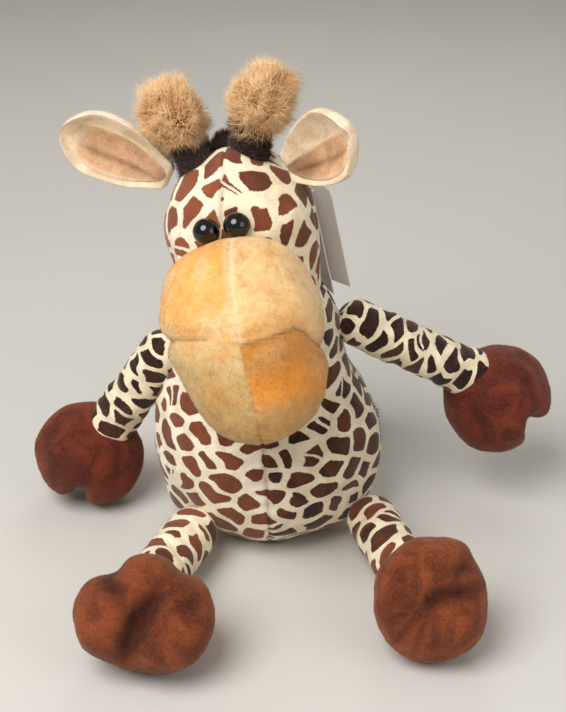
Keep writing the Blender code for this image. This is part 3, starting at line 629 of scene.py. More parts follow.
def new_material(name, roughness, sheen=0.0, sheen_tint=(1.0, 1.0, 1.0, 1.0), specular=0.3):
    """A material with constant shader values; returns it, its nodes and its shader."""
    material = bpy.data.materials.new(name)
    material.use_nodes = True
    shader = material.node_tree.nodes["Principled BSDF"]
    shader.inputs["Roughness"].default_value = roughness
    shader.inputs["Specular IOR Level"].default_value = specular
    shader.inputs["Sheen Weight"].default_value = sheen
    shader.inputs["Sheen Roughness"].default_value = 0.45
    shader.inputs["Sheen Tint"].default_value = sheen_tint
    return material, Nodes(material.node_tree), shader


def grouped(nodes, tree, inputs):
    """A group in a tree, with its inputs fed; returns its outputs."""
    return nodes.add("ShaderNodeGroup", inputs, node_tree=tree).outputs


def nap_grain(nodes, grain, brush):
    """The pile group at a grain size and a brushing size, in metres; returns its height and its shade."""
    return grouped(nodes, PILE, {"Place": nodes.place(), "Grain": grain, "Brush": brush})


def dress_pile(nodes, shader, base, shade, height, dark, light, depth):
    """Finish a plush surface: brushed light and dark, dark seam lines and painted shade in hollows, fibre
    ends painted paler than their roots, and the grain's bump.
    """
    tone = nodes.mix(shade, (dark, dark, dark, 1.0), (light, light, light, 1.0))
    base = nodes.mix(1.0, base, tone, "MULTIPLY")
    # Painted light and shade in the pile: each fibre is painted paler towards its tip, so its root reads as
    # shaded.
    fibre = nodes.ease(nodes.mark("shade"), 0.0, 1.0, 0.0, 0.20)
    tip = nodes.math("MULTIPLY", nodes.mark("tip"), fibre)
    base = nodes.mix(tip, base, (1.0, 0.95, 0.85, 1.0))
    # Darkening by its mark: along seams it is a dark stitch line, and in hollows, creases and dents it is
    # painted shade.
    seam_and_painted_shade_share = nodes.math("MULTIPLY", nodes.mark("seam_and_painted_shade"), 0.88)
    base = nodes.mix(seam_and_painted_shade_share, base, nodes.mix(1.0, base, (0.18, 0.13, 0.11, 1.0), "MULTIPLY"))
    nodes.feed(shader.inputs["Base Color"], base)
    bump = nodes.add("ShaderNodeBump", {"Height": height, "Strength": 0.4, "Distance": depth})
    nodes.feed(shader.inputs["Normal"], bump.outputs[0])


def print_material(name, left_tone, right_tone, painted_side_shade=1.0, spread=0.12):
    """Printed short-pile plush: cream ground with brown patches. Painted side light makes the -X side's
    patches redder where the light falls. The +X side's patches are darker, partly their own tone and partly
    painted shade, over a ground darkened by painted shade.
    """
    material, nodes, shader = new_material(name, 0.92, 0.3, (1.0, 0.93, 0.82, 1.0))
    patch = grouped(nodes, PRINT, {"Place": nodes.place(), "Depth": nodes.mark("patch")})["Patch"]
    grain = nap_grain(nodes, 0.0007, 0.012)
    ground = nodes.mix(grain["Shade"], colour(234, 220, 190), colour(252, 243, 221))
    # Painted side shade: towards +X the ground is darkened by the side shade factor, and the patches turn
    # from the lit side's red to a darker brown.
    reach = nodes.ease(nodes.mark("panel"), -0.004, 0.004)
    shaded = nodes.mix(1.0, ground, (painted_side_shade, painted_side_shade * 0.97, painted_side_shade * 0.90, 1.0), "MULTIPLY")
    ground = nodes.mix(reach, ground, shaded)
    red = nodes.ease(reach, 0.0, 1.0, left_tone, right_tone)
    red = nodes.math("ADD", red, nodes.ease(nodes.mark("tone"), 0.0, 1.0, -spread, spread))
    red = nodes.math("ADD", red, nodes.ease(grain["Shade"], 0.0, 1.0, -0.10, 0.10))
    brown = nodes.mix(red, colour(40, 14, 11), colour(152, 82, 50))
    base = nodes.mix(patch, ground, brown)
    dress_pile(nodes, shader, base, grain["Shade"], grain["Height"], 0.93, 1.03, 0.0003)
    return material


def gold_material():
    """The muzzle's gold plush: four panels of different tone, mottled where the pile lies crossed. The lower
    jaw and the bottom are painted darker, partly their own tone and partly painted shade on the underside.
    """
    material, nodes, shader = new_material("muzzle_gold", 0.9, 0.3, (1.0, 0.88, 0.7, 1.0))
    grain = nap_grain(nodes, 0.0009, 0.010)
    blotch = nodes.noise(nodes.place(), 0.016, 3.0, 0.6)
    lock = nodes.noise(nodes.place(), 0.0032, 3.0, 0.65)
    across = nodes.mark("panel")
    lip = nodes.mark("lip")
    side = nodes.ease(across, -0.0007, 0.0007)
    upper = nodes.ease(lip, -0.0016, 0.0018)
    near_mouth = nodes.ease(lip, 0.020, 0.002, 0.0, 0.6)
    high = nodes.mix(side, colour(252, 184, 100), colour(247, 206, 146))
    high = nodes.mix(near_mouth, high, nodes.mix(side, colour(246, 200, 136), colour(240, 176, 92)))
    # Below the mouth line it is darker, partly the jaw panels' own tone and partly painted shade where the
    # jaw faces down and away from the light, most on the +X side.
    low = nodes.mix(side, colour(226, 192, 134), colour(202, 136, 62))
    warm = nodes.mix(side, colour(214, 176, 114), colour(236, 152, 58))
    low = nodes.mix(nodes.ease(lip, -0.008, -0.020), low, warm)
    # Painted shade in part: a darker, duller tone towards the bottom, which faces down onto the belly.
    foot = nodes.mix(side, colour(208, 168, 106), colour(206, 156, 90))
    low = nodes.mix(nodes.ease(lip, -0.024, -0.034), low, foot)
    rim = nodes.math("MULTIPLY", nodes.ease(across, 0.022, 0.034, 0.0, 0.7), nodes.ease(lip, -0.004, -0.012))
    low = nodes.mix(rim, low, colour(214, 172, 112))
    base = nodes.mix(upper, low, high)
    pale = nodes.mix(side, colour(243, 214, 162), colour(244, 206, 146))
    blotch_light = nodes.ease(blotch, 0.45, 0.68, 0.0, 0.6)
    bright = nodes.math("MULTIPLY", blotch_light, nodes.ease(upper, 0.0, 1.0, 0.3, 1.0))
    base = nodes.mix(bright, base, pale)
    base = nodes.mix(nodes.ease(blotch, 0.30, 0.46, 0.45, 0.0), base, colour(222, 144, 62))
    parted = nodes.mix(1.0, base, (0.74, 0.62, 0.46, 1.0), "MULTIPLY")
    base = nodes.mix(nodes.ease(lock, 0.35, 0.65, 0.34, 0.0), base, parted)
    edge = nodes.math("MULTIPLY", nodes.ease(across, 0.022, 0.036, 0.0, 0.6), nodes.ease(lip, -0.004, 0.004))
    base = nodes.mix(edge, base, colour(222, 192, 150))
    centre = nodes.math("MULTIPLY", nodes.ease(nodes.math("ABSOLUTE", across), 0.0, 0.0042, 0.55, 0.0), upper)
    base = nodes.mix(centre, base, colour(251, 228, 184))
    dress_pile(nodes, shader, base, grain["Shade"], grain["Height"], 0.90, 1.03, 0.0005)
    return material


def plush_material(name, low, high, grain_size, brush_size, sheen, tint, dark=0.86, depth=0.0003, pale=None):
    """Plain plush of one colour family, from a low tone where the pile is parted to a high one."""
    material, nodes, shader = new_material(name, 0.93, sheen, tint)
    grain = nap_grain(nodes, grain_size, brush_size)
    base = nodes.mix(grain["Shade"], low, high)
    if pale is not None:
        base = nodes.mix(nodes.mark("pale"), base, pale)
    dress_pile(nodes, shader, base, grain["Shade"], grain["Height"], dark, 1.05, depth)
    return material


def fur_material(name, root, middle, tip):
    """Long fur: its colour runs from a dark root to a pale tip, partly its own colour and partly painted
    shade deep in the fur, with each hair a little lighter or darker.
    """
    material, nodes, shader = new_material(name, 0.8, 0.25, tip, 0.3)
    height = nodes.mark("tip")
    # Painted shade in part: darker towards the roots, where the hairs lie deep inside the fur.
    base = nodes.mix(nodes.ease(height, 0.0, 0.4), root, middle)
    base = nodes.mix(nodes.ease(height, 0.4, 1.0), base, tip)
    patch = nodes.noise(nodes.place(), 0.006, 2.0)
    shade = nodes.math("ADD", nodes.ease(nodes.mark("shade"), 0.0, 1.0, 0.88, 1.08),
                       nodes.ease(patch, 0.3, 0.7, -0.08, 0.06))
    tone = nodes.add("ShaderNodeCombineXYZ", {"X": shade, "Y": shade, "Z": shade}).outputs[0]
    nodes.feed(shader.inputs["Base Color"], nodes.mix(1.0, base, tone, "MULTIPLY"))
    return material


def eye_material():
    """Moulded black plastic with faint dust specks in its gloss."""
    material, nodes, shader = new_material("eye_gloss_black", 0.1, specular=0.5)
    shader.inputs["Coat Weight"].default_value = 0.3
    shader.inputs["Coat Roughness"].default_value = 0.04
    speck = nodes.noise(nodes.place(), 0.0012, 4.0, 0.7)
    tone = nodes.mix(nodes.ease(speck, 0.5, 0.8), colour(6, 5, 5), colour(16, 13, 12))
    nodes.feed(shader.inputs["Base Color"], tone)
    nodes.feed(shader.inputs["Roughness"], nodes.ease(speck, 0.45, 0.8, 0.10, 0.17))
    return material


def plastic_material(name, low, high, roughness):
    """Plain moulded plastic with a faint flow of tone and a fine grain in its polish."""
    material, nodes, shader = new_material(name, roughness, specular=0.45)
    flow = nodes.noise(nodes.place(), 0.004, 3.0)
    nodes.feed(shader.inputs["Base Color"], nodes.mix(flow, low, high))
    nodes.feed(shader.inputs["Roughness"], nodes.ease(flow, 0.3, 0.7, roughness - 0.06, roughness + 0.08))
    return material


def card_material():
    """Coated card: paper fibre in its tone and bump, with faint clouds of a warmer tone."""
    material, nodes, shader = new_material("swing_card_board", 0.5, specular=0.4)
    fibre = nodes.noise(nodes.place(), 0.0011, 5.0, 0.65)
    cloud = nodes.noise(nodes.place(), 0.012, 2.0)
    base = nodes.mix(fibre, colour(232, 226, 220), colour(244, 240, 235))
    base = nodes.mix(nodes.ease(cloud, 0.35, 0.7, 0.0, 0.3), base, colour(234, 226, 217))
    nodes.feed(shader.inputs["Base Color"], base)
    nodes.feed(shader.inputs["Roughness"], nodes.ease(fibre, 0.3, 0.7, 0.42, 0.6))
    bump = nodes.add("ShaderNodeBump", {"Height": fibre, "Strength": 0.35, "Distance": 0.0001})
    nodes.feed(shader.inputs["Normal"], bump.outputs[0])
    return material


def finish(piece, material, slot, body, replaced=(), fill=None):
    """Give a piece its material and its body, and hide the solids it stands for; the slot is not used."""
    piece.data.materials.clear()
    piece.data.materials.append(material)
    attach(piece, body)
    if replaced:
        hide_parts(*replaced)


def clothe(name, points, marks, look, body, fill, fibres, nap, seed, **lie):
    """The skin that stands for a node and the pile on it; look is their material and a slot name, which is
    not used.
    """
    skin = skin_piece(name + "_skin", points, marks)
    finish(skin, *look, body, (name,), fill)
    fur = pile(name + "_pile", points, marks, *fibres, nap, seed, **lie)
    finish(fur, *look, body)


def add_fur(name, paths, radii, chance, look, body):
    """Long hairs along paths, each a little thicker or thinner and lighter or darker than the next."""
    radii = np.array(radii) * chance.uniform(0.8, 1.2, (len(paths), 1))
    fur = hairs(name, paths, radii, {"shade": chance.uniform(size=len(paths))})
    finish(fur, *look, body)


# Torso and head

def torso_outline(count):
    """Radius and height from the top of the neck's ball, down the side and in under the seat."""
    top = arc(NECK_BALL_RADIUS, np.radians(np.linspace(0.0, 94.0, 10)), NECK_PIVOT.z)
    side = np.array(TORSO_SIDE_SHARES) * (TORSO_HALF_WIDTH, NECK_PIVOT.z)
    outline = closed_outline(np.vstack((top, side, ((0.0, 0.0),))), count)
    outline[:, 1] = np.maximum(outline[:, 1], 0.0)
    return outline


def torso_shaped(points):
    """The turned pear made shallower below and shifted with the belly and the neck."""
    height = points[..., 2]
    rise = smooth(height / (NECK_PIVOT.z * TORSO_RISE_SHARE))
    depth = TORSO_DEPTH_SHARE + (1.0 - TORSO_DEPTH_SHARE) * rise
    belly = np.sin(math.pi * np.minimum(1.0, height / NECK_PIVOT.z))
    shaped = points.copy()
    shaped[..., 0] += NECK_PIVOT.x * rise + BELLY_SWAY * belly
    shaped[..., 1] = points[..., 1] * depth + NECK_PIVOT.y * rise
    return shaped


def make_torso():
    """Pear of four panels: seams at front, back and sides, soft lumps, and puckers along the front seam."""
    rows, columns = GRIDS["torso"]
    outline = torso_outline(rows)
    base = turned(outline, columns)
    points = torso_shaped(base)
    across = base[..., 0]
    front = base[..., 1] < 0.0
    low = smooth((points[..., 2] - 0.001) / 0.012)
    groove = -0.0010 * bell(across / SEAM_WIDTH) - 0.0006 * bell(across / 0.0035)
    groove += -0.0005 * bell(base[..., 1] / SIDE_SEAM_WIDTH)
    pucker = 0.00030 * bell(across / 0.007) * np.sin(points[..., 2] * 900.0 + 2.0 * ripple(points, 0.03, 3))
    lumps = 0.00055 * ripple(points, 0.036, 4) + 0.00012 * ripple(points, 0.012, 5)
    crest = 0.0020 * front * bell(across / 0.014) * bell((points[..., 2] - 0.006) / 0.010)
    points = swollen(points, (groove + pucker + lumps) * low + crest)
    points[..., 2] = np.maximum(points[..., 2], 0.0)
    depth, tone = giraffe_patches(outline[:, 0], outline, columns, 4, 7, PRINTS["torso"])
    marks = {"patch": depth, "tone": tone, "panel": across, "seam_and_painted_shade": 0.45 * bell(across / STITCH_WIDTH) * low}
    # Its +X side is painted darker as side shade, in its ground and, partly, in its patches.
    look = (print_material("giraffe_print_body", 0.54, 0.15, 0.90, 0.10), "giraffe_print_plush")
    keep = (points[..., 2] > 0.002) * (points[..., 2] < 0.128) * (1.0 - 0.8 * bell(across / SEAM_WIDTH))
    clothe("torso", points, marks, look, "torso", 0.85, FIBRES["torso"], (0.0, 0.0, -1.0), 21, keep=keep)


def head_outline(count):
    """Radius and height in the head's frame: crown, column, rim and the hollow that sits on the torso."""
    socket = NECK_BALL_RADIUS + SOCKET_GAP
    rim_angle = math.asin((HEAD_RADIUS - NECK_INSET) / socket)
    rim_height = socket * math.cos(rim_angle)
    crown = arc(HEAD_RADIUS, np.linspace(0.0, math.pi / 2, 12), CROWN_HEIGHT)
    column = np.array(COLUMN_SHARES) * (HEAD_RADIUS, CROWN_HEIGHT - rim_height) + (0.0, rim_height)
    hollow = arc(socket, np.linspace(rim_angle, 0.0, 8))
    return closed_outline(np.vstack((crown, column, hollow)), count)


def make_head():
    """Column with a round crown: a front seam from the crown to the eyes, and dents round the eyes."""
    rows, columns = GRIDS["head"]
    outline = head_outline(rows)
    base = turned(outline, columns, FACE_TURN)
    turn = np.array(Matrix.Rotation(-FACE_TURN, 3, "Z"))
    face = base @ turn.T
    across = face[..., 0]
    front = smooth((0.010 - face[..., 1]) / 0.006)
    outer = smooth((np.hypot(base[..., 0], base[..., 1]) - 0.004) / 0.006)
    back = smooth((face[..., 1] + 0.004) / 0.008)
    seam = -0.0009 * bell(across / SEAM_WIDTH) * front * outer
    back_seam = -0.0007 * bell(across / SEAM_WIDTH) * back * outer
    side_seam = -0.0006 * bell(face[..., 1] / SIDE_SEAM_WIDTH) * outer
    lumps = (0.00045 * ripple(base, 0.030, 14) + 0.0001 * ripple(base, 0.011, 15)) * outer
    dents = np.zeros_like(across)
    for side, suffix in ((1.0, "left"), (-1.0, "right")):
        angle = side * EYE_SPREAD
        eye = np.array((HEAD_RADIUS * math.sin(angle), -HEAD_RADIUS * math.cos(angle), EYE_HEIGHTS[suffix]))
        dents -= 0.0009 * bell(np.linalg.norm(face - eye, axis=-1) / 0.0085)
    inside = np.linalg.norm(base, axis=-1) < NECK_BALL_RADIUS + 0.0022
    amount = np.where(inside, 0.0, seam + back_seam + side_seam + lumps + dents)
    crown = bell(np.linalg.norm((face - (0.0, -0.010, CROWN_HEIGHT + HEAD_RADIUS)), axis=-1) / 0.0095)
    points = placed(HEAD_FRAME, swollen(base, amount + 0.0042 * crown))
    depth, tone = giraffe_patches(outline[:, 0], outline, columns, 4, 19, PRINTS["head"])
    seam_and_painted_shade = 0.4 * bell(across / STITCH_WIDTH) * front * outer
    marks = {"patch": depth, "tone": tone, "panel": across, "seam_and_painted_shade": seam_and_painted_shade}
    # Its +X side is painted a little darker as side shade, in its ground and, partly, in its patches.
    look = (print_material("giraffe_print_head", 0.80, 0.52, 0.98), "giraffe_print_plush")
    keep = np.where(inside, 0.0, 1.0 - 0.8 * bell(across / SEAM_WIDTH) * outer)
    clothe("head", points, marks, look, "head", 0.85, FIBRES["head"], (0.0, 0.1, -1.0), 22, keep=keep)


# Muzzle and eyes

def eye_frame(suffix):
    """The frame at an eye's flat back, whose Z points out of the face."""
    angle = EYE_SPREAD if suffix == "left" else -EYE_SPREAD
    seat = HEAD_RADIUS * math.cos(angle) - EYE_SEAT_DEPTH
    place = Vector((HEAD_RADIUS * math.sin(angle), -seat, EYE_HEIGHTS[suffix]))
    return FACE_FRAME @ Matrix.Translation(place) @ Matrix.Rotation(math.radians(90.0), 4, "X")


def face_front(points, gap):
    """How far back a point may lie before it meets the head: minus the root of R squared less x squared."""
    local = unplaced(HEAD_FRAME, points)
    above = np.maximum(local[..., 2] - CROWN_HEIGHT, 0.0)
    level = local[..., 0] ** 2 + above ** 2
    local[..., 1] = np.minimum(local[..., 1], -np.sqrt(np.maximum(HEAD_RADIUS ** 2 - level, 0.0)) - gap)
    return placed(HEAD_FRAME, local)


def torso_front(points, gap):
    """Points held in front of the torso, whose radius at each height comes from its outline."""
    outline = torso_outline(190)
    height = points[..., 2]
    rise = smooth(height / (NECK_PIVOT.z * TORSO_RISE_SHARE))
    radius = np.interp(-height, -outline[:, 1], outline[:, 0])
    across = points[..., 0] - NECK_PIVOT.x * rise - BELLY_SWAY
    depth = TORSO_DEPTH_SHARE + (1.0 - TORSO_DEPTH_SHARE) * rise
    limit = NECK_PIVOT.y * rise - depth * np.sqrt(np.maximum(radius ** 2 - across ** 2, 0.0)) - gap
    held = points.copy()
    held[..., 1] = np.minimum(points[..., 1], limit)
    return held


def make_muzzle():
    """Full egg of four panels: a centre seam, and a mouth line that draws the sides in at its corners."""
    direction, fall, turn = sphere_directions(*GRIDS["muzzle"])
    level = np.sin(fall)
    below = smooth((0.35 - direction[..., 2]) / 0.6)
    power = MUZZLE_SIDE_POWERS[0] + (MUZZLE_SIDE_POWERS[1] - MUZZLE_SIDE_POWERS[0]) * below
    width = np.maximum(level, 1e-6) ** power * (1.0 - JAW_NARROWING * below)
    share = np.maximum(level, 1e-6) ** power * np.cos(turn)
    mouth = np.interp(share, *np.array(MOUTH_LINE).T)
    lip = MUZZLE_HALF[2] * direction[..., 2] - 0.0009 - mouth
    width = width * (1.0 - 0.036 * bell(lip / 0.0058))
    corner = bell((np.abs(share) - 0.93) / 0.16) * smooth(-np.sin(turn) + 0.75)
    width = width * (1.0 - 0.045 * bell(lip / 0.0030) * corner)
    base = np.stack((np.cos(turn) * width, np.sin(turn) * width, direction[..., 2]), axis=-1) * MUZZLE_HALF
    across = base[..., 0]
    front = smooth(0.5 - np.sin(turn))
    outer = smooth(level / 0.12)
    amount = -0.0009 * bell(across / 0.0010) * outer
    amount += -0.0007 * bell(lip / 0.0009) * outer * (0.35 + 0.65 * smooth(np.abs(share) * 2.2 - 0.4))
    amount += 0.0008 * bell((lip + 0.0085) / 0.006) * front
    amount += 0.0005 * bell((lip - 0.0085) / 0.007) * front
    amount += 0.0004 * ripple(base, 0.028, 31) + 0.0001 * ripple(base, 0.009, 32)
    pucker = np.sin(lip * 1400.0 + 2.0 * ripple(base, 0.02, 33)) * bell(across / 0.004)
    amount += 0.00018 * pucker * outer
    sway = MUZZLE_SWAY * smooth((0.35 - direction[..., 2]) / 1.1)
    sway = sway + 0.0018 * smooth(-share) * smooth((-0.15 - direction[..., 2]) / 0.6) * level
    shape = swollen(base, amount) + sway[..., None] * (1.0, 0.0, 0.0)
    points = placed(MUZZLE_FRAME, shape)
    points = torso_front(face_front(points, 0.0005), 0.0014)
    back = Matrix.Rotation(-NOD_LIMIT, 4, "X")
    nod = Matrix.Translation(NECK_PIVOT) @ back @ Matrix.Translation(-NECK_PIVOT)
    points = unplaced(nod, torso_front(placed(nod, points), 0.0010))
    for suffix in ("left", "right"):
        eye = placed(eye_frame(suffix), np.array((0.0, 0.0, EYE_RIM)))
        away = points - eye
        length = np.linalg.norm(away, axis=-1, keepdims=True)
        points = eye + away * np.maximum(1.0, (EYE_RADIUS + 0.0004) / np.maximum(length, 1e-6))
    dash = smooth((share + 0.85) / 0.1) * smooth((-0.32 - share) / 0.12)
    drawn = np.clip(dash + smooth((share + 0.05) / 0.12), 0.1, 1.0)
    seam_and_painted_shade = 0.5 * bell(lip / 0.0008) * np.maximum(drawn, corner) + 0.14 * bell(across / 0.0008)
    marks = {"panel": across, "lip": lip, "seam_and_painted_shade": np.clip(seam_and_painted_shade, 0.0, 1.0) * outer}
    keep = front * (1.0 - 0.7 * bell(across / STITCH_WIDTH)) + 0.05
    clothe("muzzle", points, marks, (gold_material(), "gold_plush"), "head", 0.85, FIBRES["muzzle"],
           (0.0, -0.2, -1.0), 23, keep=keep, brush=0.8, stand=0.45, stray=0.3)


def make_eyes():
    """Domed safety eyes: dome, rim, flat back and post turned from one outline."""
    material = eye_material()
    rows, columns = GRIDS["eye"]
    dome = arc(EYE_RADIUS, np.linspace(0.0, math.pi / 2, rows), EYE_RIM)
    rest = (
        (EYE_RADIUS, EYE_RIM * 0.5),
        (EYE_RADIUS * 0.985, 0.0002),
        (EYE_RADIUS * 0.94, 0.0),
        (EYE_POST_RADIUS + 0.0003, 0.0),
        (EYE_POST_RADIUS, -0.0004),
        (EYE_POST_RADIUS, -EYE_POST_LENGTH * 0.5),
        (EYE_POST_RADIUS, -EYE_POST_LENGTH + 0.0006),
        (EYE_POST_RADIUS * 0.7, -EYE_POST_LENGTH),
        (0.0, -EYE_POST_LENGTH),
    )
    outline = np.vstack((dome, rest))
    for suffix in ("left", "right"):
        points = placed(eye_frame(suffix), turned(outline, columns))
        eye = skin_piece("eye_" + suffix + "_dome", points, {})
        finish(eye, material, "eye_plastic", "head", ("eye_" + suffix,))


# Ears

def ear_frame(suffix):
    """The ear's root on the crown, with X along the ear and -Y out of its cupped front."""
    side = 1.0 if suffix == "left" else -1.0
    tilt, forward, rise, sweep, roll = (math.radians(value) for value in EAR_ANGLES[suffix])
    root = Vector((side * math.sin(tilt), -math.sin(forward), math.cos(tilt)))
    root = root.normalized() * (HEAD_RADIUS + SOCKET_GAP + EAR_THICKNESS / 2)
    reach = Vector((side * math.cos(rise), -math.sin(sweep), math.sin(rise))).normalized()
    across = Vector((0.0, -1.0, 0.0)).cross(reach) * side
    z_axis = across.normalized() * side
    y_axis = z_axis.cross(reach)
    rotation = Matrix((reach, y_axis, z_axis)).transposed().to_4x4() @ Matrix.Rotation(roll, 4, "X")
    return Matrix.Translation(CROWN_FRAME @ root) @ FACE_FRAME.to_3x3().to_4x4() @ rotation


def ear_middle(along, across):
    """The ear's middle sheet: width from its shares and a round tip, cupped towards +Y short of that tip."""
    knots = np.stack((np.linspace(0.0, 1.0, len(EAR_WIDTH_SHARES)), EAR_WIDTH_SHARES), axis=1)
    table = curve_through(knots, 90)
    shares = np.interp(along, table[:, 0], table[:, 1])
    tip = np.sqrt(np.clip(1.0 - (np.clip(along - 0.66, 0.0, 1.0) / 0.34) ** 2, 0.0, 1.0))
    root = np.sqrt(np.clip(along / 0.05, 0.0, 1.0))
    width = EAR_HALF_WIDTH * shares * tip * (0.55 + 0.45 * root)
    cup = EAR_CUP_DEPTH * smooth(along * 2.5) * (1.0 - across * across) * tip
    return np.stack((EAR_LENGTH * along, cup, width * across), axis=-1)


def ear_half_thickness(across):
    """Half the ear's thickness: thin in the middle, padded towards its rims."""
    return EAR_THICKNESS / 2 * (0.72 + 0.90 * np.abs(across) ** 3.2)


def make_ear(suffix, cream, tan):
    """Cupped leaf with rolled rims: the middle sheet, plus or minus a thickness that swells at the rims,
    painted darker in its cup near the root as painted shade.
    """
    place = ear_frame(suffix)
    rows, columns = GRIDS["ear"]
    along = smooth(np.linspace(0.0, 1.0, rows))[:, None] + np.zeros((1, columns))
    turn = circle(columns)[None] + np.zeros((rows, 1))
    across = signed_power(np.cos(turn), 0.85)
    points = ear_middle(along, across)
    ends = rounded_ends(along, 0.04, 0.03)
    swell = ear_half_thickness(across) * ends
    points[..., 1] += signed_power(np.sin(turn), 0.5) * swell
    points[..., 1] += 0.00012 * ripple(points, 0.016, 41) * ends
    inner = smooth(-np.sin(turn) * 3.0)
    # Painted shade: the cup's front is darkened near the root, across its middle, where it is hollow.
    seam_and_painted_shade = 0.14 * inner * bell(across / 0.7) * (1.0 - smooth((along - 0.1) / 0.5))
    low, high = LINING_EDGES[suffix]
    upward = across if suffix == "left" else -across
    covered = inner * (upward > low + 0.05) * (upward < high - 0.05) * (along > 0.12) * (along < 0.86)
    name = "ear_" + suffix
    clothe(name, placed(place, points), {"seam_and_painted_shade": seam_and_painted_shade}, (cream, "cream_plush"), name, 0.4, FIBRES["ear"],
           np.array(place)[:3, 0], 43, keep=1.0 - covered)
    make_lining(suffix, place, tan)


def make_lining(suffix, place, tan):
    """The ear's inner panel: a thin closed leaf on the sheet's front, sunk at its border and creased, with
    painted shade in its crease, along its lower middle and in the hollow at its root.
    """
    rows, columns = GRIDS["lining"]
    along = np.linspace(0.0, 1.0, rows)[:, None] + np.zeros((1, columns))
    turn = circle(columns)[None] + np.zeros((rows, 1))
    reach = 0.05 + 0.86 * along
    ends = (1.0 - np.abs(2.0 * along - 1.0) ** 3.4) ** 0.45
    low, high = LINING_EDGES[suffix]
    upward = 1.0 if suffix == "left" else -1.0
    across = (upward * (high + low) / 2 + (high - low) / 2 * np.cos(turn)) * ends
    middle = ear_middle(reach, across)
    inward = np.minimum((1.0 - np.abs(np.cos(turn))) * 1.6, np.minimum(1.0 - along, along + 0.5) * 2.2)
    front = -ear_half_thickness(across) - 0.0004 + 0.0011 * (1.0 - smooth(inward / 0.22))
    thick = 0.0005 * signed_power(np.sin(turn), 0.7) * ends
    middle[..., 1] += front + thick
    crease = bell((upward * across + 0.36) / 0.10) * smooth(reach * 3.0)
    crease = crease * (1.0 - smooth((reach - 0.70) / 0.2))
    middle[..., 1] += 0.0003 * crease * (np.sin(turn) < 0.0)
    # Painted shade: the crease, a band along the lower middle and the hollow at the root darken the lining,
    # the hollow more on the left ear.
    hollow = 1.0 - smooth((reach - 0.05) / 0.45)
    band = bell((upward * across + 0.30) / 0.42) * smooth(reach * 3.0) * (1.0 - smooth((reach - 0.60) / 0.3))
    seam_and_painted_shade = np.clip(0.45 * crease + 0.20 * band + (0.75 if suffix == "left" else 0.35) * hollow, 0.0, 1.0)
    marks = {"seam_and_painted_shade": seam_and_painted_shade, "pale": 1.0 - smooth(inward / 0.55)}
    clothe("ear_lining_" + suffix, placed(place, middle), marks, (tan, "tan_plush"), "ear_" + suffix, None,
           FIBRES["lining"], np.array(place)[:3, 0], 44, keep=smooth(-np.sin(turn) * 4.0), brush=0.4)


# Horns, tufts and mane

def horn_frame(suffix):
    """The horn's frame on the crown, and the height of its top in that frame."""
    side = 1.0 if suffix == "left" else -1.0
    base = HEAD_RADIUS * math.cos(math.asin(HORN_RADIUS / HEAD_RADIUS)) - CUT_OVERRUN
    place = CROWN_FRAME @ Matrix.Rotation(side * HORN_SPREAD, 4, "Y") @ Matrix.Translation((0.0, 0.0, base))
    return place, HORN_HEIGHT + HEAD_RADIUS - base


def make_horn(suffix, maroon, fluff, seed):
    """A stuffed dark stub, flared at its foot, under a ball of long brushed-out fluff."""
    place, top = horn_frame(suffix)
    rows, columns = GRIDS["horn"]
    base = turned(closed_outline(np.array(HORN_SHARES) * (HORN_RADIUS, top), rows), columns)
    base = swollen(base, 0.00035 * ripple(base, 0.010, seed))
    clothe("horn_" + suffix, placed(place, base), {}, (maroon, "horn_plush"), "head", 0.7, FIBRES["horn"],
           np.array(place)[:3, 2], seed + 1, stand=0.8, stray=0.5)
    foot = Matrix.Translation((0.0, 0.0, top - TUFT_OVERLAP)) @ Matrix.Rotation(TUFT_LEAN, 4, "Y")
    make_tuft(suffix, place @ foot, fluff, seed + 2)


def make_tuft(suffix, place, fluff, seed):
    """Fluff: a tapered core, and hairs that leave it outward, upward at its crest, and curl in locks."""
    direction, _, _ = sphere_directions(*GRIDS["tuft"])
    middle = np.array((0.0, 0.0, TUFT_HEIGHT * 0.47))
    core = direction * (TUFT_RADIUS * 0.51, TUFT_RADIUS * 0.51, TUFT_HEIGHT * 0.30)
    taper = 1.10 - 0.44 * smooth((direction[..., 2:] + 0.15) / 0.75)
    core = core * (taper * (1.0, 1.0, 0.0) + (0.0, 0.0, 1.15)) + middle
    core = swollen(core, 0.0008 * ripple(core, 0.010, seed))
    # The core takes a colour near the fur's dark roots: partly painted shade inside the fluff.
    marks = {"tip": np.full(core.shape[:2], 0.2), "shade": np.full(core.shape[:2], 0.4)}
    core_skin = skin_piece("tuft_" + suffix + "_core", placed(place, core), marks)
    finish(core_skin, fluff, "tuft_fur", "head", ("horn_tuft_" + suffix,))
    chance = np.random.default_rng(seed)
    count, radii = TUFT_HAIRS
    root, _, _ = scattered(core, {}, count, chance)
    outward = unit(root - middle * (1.0, 1.0, 0.75))
    crest = smooth((outward[:, 2:] - 0.45) * 2.6)
    outward = unit(outward + (0.0, 0.0, 0.30) + crest * (0.0, 0.0, 0.95))
    stray = chance.normal(scale=0.17, size=root.shape)
    heading = unit(outward + 0.42 * locks_of(root, 0.0066, seed) + stray)
    length = (0.0098 + 0.0030 * crest) * chance.uniform(0.5, 1.15, (count, 1))
    curl = unit(np.cross(heading, chance.normal(size=root.shape)))
    steps = np.array((-0.12, 0.55, 1.0))[None, :, None]
    bend = 0.22 * np.sin(math.pi * np.clip(steps, 0.0, 1.0) * 1.4)
    paths = root[:, None] + heading[:, None] * length[:, None] * steps + (curl * length)[:, None] * bend
    add_fur("tuft_" + suffix + "_fur", placed(place, paths), radii, chance, (fluff, "tuft_fur"), "head")


